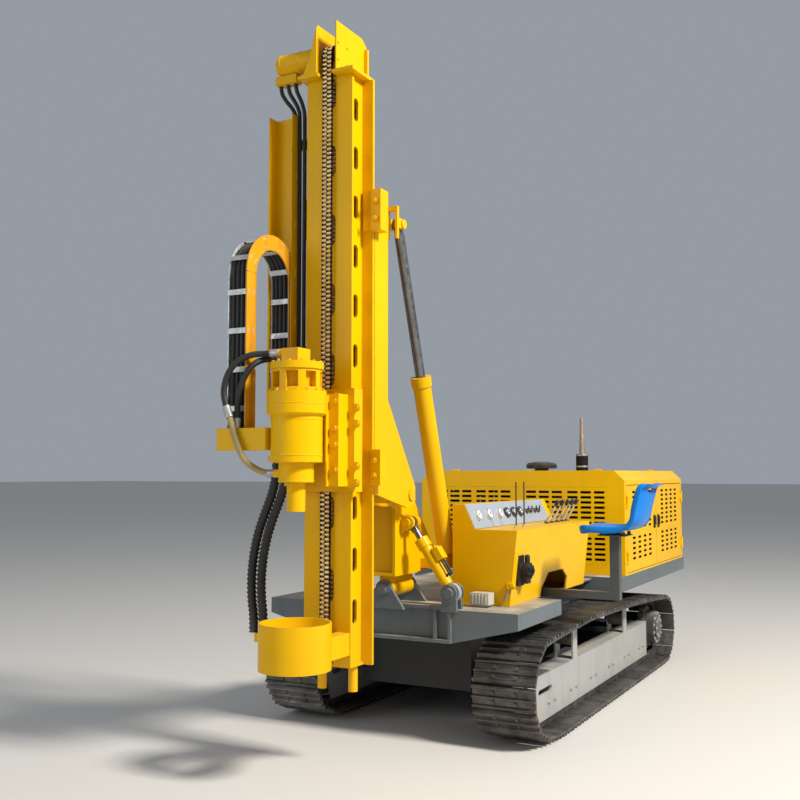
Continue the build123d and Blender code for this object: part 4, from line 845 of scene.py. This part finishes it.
# Luffing carrier and its cylinders. The carrier grips the mast's rear flange, and two long
# cylinders raise it from pins in the carrier's clevises.
coat(yellow, "luff_carrier", "luff_cylinder_barrels")
grip_front, grip_x = -2.3963, 0.238
carrier_bolts = [((grip_x, grip_front, z), (0, -1, 0)) for z in (1.587, 1.671, 3.030, 3.130)]
bolts("carrier_bolts", "luff_carrier", carrier_bolts, radius=0.015, height=0.012,
      finish=yellow, slot="yellow_paint")
rod_x, pin_y, pin_z, pin_half, lid_near, lid_far = 0.228, -2.092, 3.057, 0.035, 0.0372, 0.0462
eye_pins, pin_lids = bmesh.new(), bmesh.new()
for x in (rod_x, -rod_x):
    rod(eye_pins, (x - pin_half, pin_y, pin_z), (x + pin_half, pin_y, pin_z), 0.019, 20)
    for way in (-1, 1):
        rod(pin_lids, (x + way * lid_near, pin_y, pin_z), (x + way * lid_far, pin_y, pin_z),
            0.028, 28)
solid("luff_rod_pins", eye_pins, plain_steel, "luff_rods")
solid("clevis_pin_lids", pin_lids, yellow, "luff_carrier", bevel=0.002)


# Mast. A welded box with slotted front and sides, a wide rear flange that slides in the carrier,
# and a head that holds the feed motor.
coat(yellow, "mast", "mast_head", "hose_tray", "feed_motor", "feed_motor_ports")
coat(dark_grey, "head_sprocket", "foot_sprocket")
motor_y, motor_z, cheek_face, cap_top = -2.462, 3.985, 0.069, 3.870
mast_bolts = [((cheek_face, motor_y + dy, motor_z + dz), (1, 0, 0))
              for dy in (-0.05, 0.05) for dz in (-0.05, 0.05)]
mast_bolts += [((x, y, cap_top), (0, 0, 1)) for x in (0.10, 0.16, -0.10, -0.16)
               for y in (-2.51, -2.34)]
bolts("mast_head_bolts", "mast", mast_bolts, radius=0.0065, height=0.005, finish=yellow,
      slot="yellow_paint")
motor_rings = bmesh.new()
for x in (-0.084, -0.205, -0.330):
    rod(motor_rings, (x - 0.007, motor_y, motor_z), (x + 0.007, motor_y, motor_z), 0.0655, 40)
solid("feed_motor_ribs", motor_rings, yellow, "mast", bevel=0.002)


# Feed chain. A roller chain of inch pitch, with greasy black side plates and worn rollers in two
# rows, runs up the mast's front and back inside it, round a sprocket at each end. The rollers are
# coloured golden as a painted reflection of the yellow mast.
chain_steel = bare_metal("greasy_chain_steel", (0.020, 0.018, 0.016), (0.05, 0.045, 0.038),
                         (0.08, 0.05, 0.03), rough=0.40, rusted=0.3, dust_top=0.2)
# Golden roller colour: painted reflection of the yellow mast, over worn steel.
roller_steel = bare_metal("worn_roller_steel", (0.72, 0.52, 0.22), (0.92, 0.74, 0.42),
                          (0.22, 0.13, 0.06), rough=0.42, rusted=0.2, dust_top=0.2)
chain_foot, chain_round, chain_pitch, chain_half = 0.640, 0.048, 0.0254, 0.0300
chain_wheels = [(motor_y, chain_foot, chain_round), (motor_y, motor_z, chain_round)]
chain_length = 2 * (motor_z - chain_foot) + 2 * pi * chain_round
plates, rollers = bmesh.new(), bmesh.new()
for x, along in ((-chain_half, 0.0), (-0.0015, 0.0063), (chain_half - 0.003, 0.0127)):
    block(plates, (x, along - 0.0165, -0.0085), (x + 0.003, along + 0.0165, 0.0085))
for low, high, along in ((-0.0270, -0.0018, 0.0), (0.0018, 0.0270, 0.0127)):
    rod(rollers, (low, along, 0.0015), (high, along, 0.0015), 0.0085, 12)
    rod(plates, (low - 0.003, along, 0), (high + 0.003, along, 0), 0.0045, 8)
chain_line = belt_points(0, chain_wheels, radians(15))
for name, shape, finish in (("feed_chain_plates", plates, chain_steel),
                            ("feed_chain_rollers", rollers, roller_steel)):
    link = bpy.data.objects.new(name + "_one", meshed(name + "_one", shape))
    linked_loop(name, chain_line, link, "mast", round(chain_length / chain_pitch), finish,
                "feed_chain")


# Hoses on the mast. Three black rubber hoses feed the motor at the head, and the two that hang
# down to the mast's foot are in ribbed sleeves.
def ribbed_tree():
    """A round hose along a curve, with ribs of a given pitch and depth."""
    tree, add, join, given = new_tree("ribbed hose", route="Geometry", radius="Float",
                                      rib_depth="Float", half_pitch="Float", finish="Material")
    even = add("GeometryNodeResampleCurve")
    even.mode = "LENGTH"
    join(given["Route"], even.inputs["Curve"])
    join(given["Half Pitch"], even.inputs["Length"])
    odd = worked(tree, "MODULO", add("GeometryNodeInputIndex").outputs[0], 2)
    cut = worked(tree, "MULTIPLY", odd, given["Rib Depth"])
    ring = add("GeometryNodeCurvePrimitiveCircle")
    ring.inputs["Resolution"].default_value = 14
    ring.inputs["Radius"].default_value = 1.0
    skin = add("GeometryNodeCurveToMesh")
    skin.inputs["Fill Caps"].default_value = True
    join(even.outputs["Curve"], skin.inputs["Curve"])
    join(worked(tree, "SUBTRACT", given["Radius"], cut), skin.inputs["Scale"])
    join(ring.outputs["Curve"], skin.inputs["Profile Curve"])
    return ended(tree, skin.outputs["Mesh"], given["Finish"])


ribbed_hose = ribbed_tree()


def hose(name, body, route, radius, finish, slot, depth, half_pitch, replaced):
    """A smooth or ribbed hose with the route's points as its curve's control points."""
    curve, spline = curved(name + "_route", "NURBS", route)
    curve.resolution_u = 12
    spline.order_u = 3
    spline.use_endpoint_u = True
    made = grown(name, curve, ribbed_hose, body, slot, smooth=70, radius=radius,
                 rib_depth=depth, half_pitch=half_pitch, finish=finish)
    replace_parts(made, replaced)


port_z, tray_foot = 3.8684, 1.700
feed_hoses = [
    [(-0.352, motor_y, port_z), (-0.352, motor_y, 3.832), (-0.336, -2.430, 3.788),
     (-0.312, -2.395, 3.750), (-0.297, -2.383, 3.702), (-0.290, -2.383, 3.630),
     (-0.290, -2.383, tray_foot)],
    [(-0.300, motor_y, port_z), (-0.300, motor_y, 3.830), (-0.274, -2.438, 3.778),
     (-0.254, -2.422, 3.730), (-0.243, -2.420, 3.670), (-0.243, -2.420, tray_foot)],
    [(-0.248, motor_y, port_z), (-0.248, motor_y, 3.830), (-0.228, -2.438, 3.775),
     (-0.215, -2.423, 3.715), (-0.211, -2.420, 3.650), (-0.211, -2.420, tray_foot)],
]
for i, route in enumerate(feed_hoses):
    hose(f"feed_hose_{i}", "mast", route, 0.012, black_rubber, "hose_rubber", 0.0006, 0.004,
         "feed_motor_hoses")

drop_y, drop_top, drop_end = -2.440, 1.6694, 0.6903
drop_hoses = {
    "outer": [(-0.376, drop_top), (-0.376, 1.588), (-0.408, 1.472), (-0.460, 1.360),
              (-0.505, 1.245), (-0.533, 1.120), (-0.545, 0.990), (-0.541, 0.870),
              (-0.525, 0.785), (-0.525, drop_end)],
    "inner": [(-0.306, drop_top), (-0.306, 1.588), (-0.338, 1.475), (-0.390, 1.365),
              (-0.434, 1.250), (-0.463, 1.130), (-0.477, 1.000), (-0.474, 0.880),
              (-0.459, 0.790), (-0.459, drop_end)],
}
for name, line in drop_hoses.items():
    hose("drop_hose_sleeve_" + name, "mast", [(x, drop_y, z) for x, z in line], 0.029,
         black_rubber, "hose_rubber", 0.007, 0.0125, "drop_hose_" + name)


# Hose carrier. Galvanised bars tie a yellow band to a thin steel one, in a ladder that holds four
# hoses; it bends over in an arch that climbs at half the speed of the rotary head.
def strip(shape, line, x, wide, thick, sides=4):
    """A bar of a given width and thickness that follows a line in the plane X = 0."""
    rings = []
    for i, point in enumerate(line):
        ahead = Vector(line[min(i + 1, len(line) - 1)]) - Vector(line[max(i - 1, 0)])
        out = Vector((0, -ahead.z, ahead.y)).normalized()
        middle = Vector(point) + Vector((x, 0, 0))
        rings.append([shape.verts.new(
            middle + Vector((wide * cos(a), 0, 0)) + out * thick * sin(a))
            for a in [2 * pi * (j + 0.5) / sides for j in range(sides)]])
    for one, two in zip(rings, rings[1:]):
        for j in range(sides):
            k = (j + 1) % sides
            shape.faces.new((one[j], one[k], two[k], two[j]))
    shape.faces.new(rings[0][::-1])
    shape.faces.new(rings[-1])


band_yellow = painted("band_yellow", (0.74, 0.37, 0.008), (0.50, 0.19, 0.014),
                      (0.22, 0.09, 0.03), (0.5, 0.30, 0.12), streaks=0.5)
zinc = bare_metal("galvanised_steel", (0.50, 0.51, 0.52), (0.62, 0.63, 0.63),
                  (0.36, 0.27, 0.18), rough=0.42, rusted=0.2, dust_top=0.2)
ladder_x, ladder_half, band_inset, band_thin = -0.341, 0.071, 0.004, 0.0055
yellow_band_wide, steel_band_wide = 0.062, 0.030
bar_half, bar_thin, bar_side = 0.015, 0.003, 0.023
inner_first, inner_step, inner_radius = -0.044, 0.029, 0.0145
arch_y, arch_z, arch_mid = -2.641, 2.689, 0.201
arch_line = [(0, arch_y - arch_mid * cos(pi * i / 24), arch_z + arch_mid * sin(pi * i / 24))
             for i in range(25)]
front_line = [(0, arch_y - arch_mid, 1.842 + i * 0.0847) for i in range(11)]
rear_line = [(0, arch_y + arch_mid, 1.702 + i * 0.0987) for i in range(11)]
ladder_parts = [
    ("arch", arch_line, 4, None),
    ("front_leg", front_line, 4, ("mast", "head_carriage", (0, 0, 3.689), (0, 0, 1.689))),
    ("rear_leg", rear_line, 5, ("mast", "head_carriage", (0, 0, 1.700), (0, 0, 3.678))),
]
for part, line, bars, legs in ladder_parts:
    band, ties, inner_hoses = bmesh.new(), bmesh.new(), bmesh.new()
    strip(band, line, ladder_x + ladder_half - band_inset, band_thin, yellow_band_wide)
    for i in range(4):
        strip(inner_hoses, line, ladder_x + inner_first + i * inner_step, inner_radius,
              inner_radius, sides=12)
    strip(ties, line, ladder_x - ladder_half + band_inset, band_thin, steel_band_wide)
    for i in range(bars):
        share = (i + 0.5) / bars * (len(line) - 1)
        low = Vector(line[int(share)])
        high = Vector(line[min(int(share) + 1, len(line) - 1)])
        run = (high - low).normalized()
        out = Vector((0, -run.z, run.y))
        turn = Matrix((Vector((1, 0, 0)), run, out)).transposed().to_4x4()
        for side in (-bar_side, bar_side):
            bar = block(ties, (-ladder_half, -bar_half, -bar_thin),
                        (ladder_half, bar_half, bar_thin))
            place = low.lerp(high, share % 1) + out * side + Vector((ladder_x, 0, 0))
            bmesh.ops.transform(ties, matrix=Matrix.Translation(place) @ turn, verts=bar)
    made = [solid(f"carrier_band_{part}", band, band_yellow, "hose_carrier"),
            solid(f"carrier_bars_{part}", ties, zinc, "hose_carrier"),
            solid(f"carrier_hoses_{part}", inner_hoses, black_rubber, "hose_carrier",
                  smooth=60)]
    for item in made:
        if legs:
            world_place = item.matrix_world.copy()
            item.parent = None
            item.matrix_world = world_place
            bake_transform(item)
        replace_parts(item, "hose_carrier_" + part)


# Head carriage and hose bracket. The carriage slides on the mast's front flange and carries the
# gearbox; its bolts are set in rows on the clamping plates and on the gearbox's flange.
coat(yellow, "head_carriage", "hose_bracket", "rotary_gearbox")
clamp_front, flange_front = -2.5613, -2.6593
carriage_bolts = [((x, clamp_front, z), (0, -1, 0)) for x in (-0.190, 0.226)
                  for z in (1.548, 1.640, 1.866, 1.953)]
carriage_bolts += [((x, flange_front, z), (0, -1, 0)) for x in (-0.146, 0.146)
                   for z in (1.618, 1.752, 1.838, 1.985)]
bolts("carriage_bolts", "head_carriage", carriage_bolts, radius=0.0165, height=0.013,
      finish=yellow, slot="yellow_paint")


# Rotary head. A flanged planetary gearbox in yellow, the hydraulic motor's slotted cage on top
# with a core inside coloured near-black as painted shade, and three hoses with crimped steel ends.
coat(yellow, "rotary_motor")
head_y, cap_z, drum_z, up = -2.800, 2.184, 2.0303, (0, 0, 1)
head_bolts = ring_of((0, head_y, cap_z), 0.128, 12, up)
head_bolts += [((cos(a) * 0.147, head_y + sin(a) * 0.147, drum_z), up)
               for a in [radians(11.25 + 22.5 * i) for i in range(16)]]
bolts("rotary_head_bolts", "head_carriage", head_bolts, radius=0.008, height=0.009,
      finish=yellow, slot="yellow_paint")
seams, core = bmesh.new(), bmesh.new()
for z, tall, wide in ((1.690, 0.010, 0.1385), (1.878, 0.009, 0.1385), (1.960, 0.007, 0.1592),
                      (1.5525, 0.014, 0.0945)):
    rod(seams, (0, head_y, z), (0, head_y, z + tall), wide, 64)
solid("gearbox_seams", seams, yellow, "head_carriage", smooth=30, bevel=0.002)
# The motor's core, its near-black colour painted shade within the cage.
rod(core, (0, head_y, 2.0335), (0, head_y, 2.142), 0.084, 40)
solid("motor_core", core, painted_shade_black, "head_carriage")
sleeve = plain("hose_sleeve_sand", (0.42, 0.33, 0.13), 0.6, speckle=0.35)
head_hoses = [
    ("upper", black_rubber, "hose_rubber",
     [(-0.0903, -2.832, 2.240), (-0.165, -2.832, 2.240), (-0.240, -2.890, 2.234),
      (-0.316, -2.925, 2.188), (-0.362, -2.932, 2.120), (-0.380, -2.934, 2.048),
      (-0.372, -2.934, 1.985), (-0.350, -2.934, 1.930)]),
    ("lower", sleeve, "hose_sleeve",
     [(-0.348, -2.934, 1.925), (-0.326, -2.934, 1.870), (-0.304, -2.936, 1.800),
      (-0.270, -2.944, 1.735), (-0.238, -2.936, 1.668), (-0.205, -2.880, 1.622),
      (-0.165, -2.835, 1.600), (-0.1103, -2.835, 1.600)]),
    ("inner", black_rubber, "hose_rubber",
     [(-0.0903, -2.778, 2.218), (-0.155, -2.778, 2.218), (-0.204, -2.838, 2.208),
      (-0.236, -2.888, 2.172), (-0.278, -2.900, 2.100), (-0.312, -2.898, 2.010),
      (-0.318, -2.894, 1.925), (-0.318, -2.894, 1.8403)]),
]
for name, finish, slot, route in head_hoses:
    hose("head_hose_tube_" + name, "head_carriage", route, 0.0175, finish, slot, 0.0014, 0.0045,
         "head_hose_" + name)
crimps = bmesh.new()
for start, end in (((-0.089, -2.832, 2.240), (-0.148, -2.832, 2.240)),
                   ((-0.089, -2.778, 2.218), (-0.142, -2.778, 2.218)),
                   ((-0.160, -2.835, 1.600), (-0.110, -2.835, 1.600)),
                   ((-0.318, -2.894, 1.895), (-0.318, -2.894, 1.8405)),
                   ((-0.362, -2.934, 1.958), (-0.336, -2.934, 1.896))):
    rod(crimps, start, end, 0.0215, 12)
solid("hose_crimps", crimps, plain_steel, "head_carriage", bevel=0.002)


# Spindle and casing guide. The spindle is a painted tube with a tool socket, and the guide at the
# mast's foot is a ring of yellow plate.
coat(yellow, "spindle", "casing_guide")
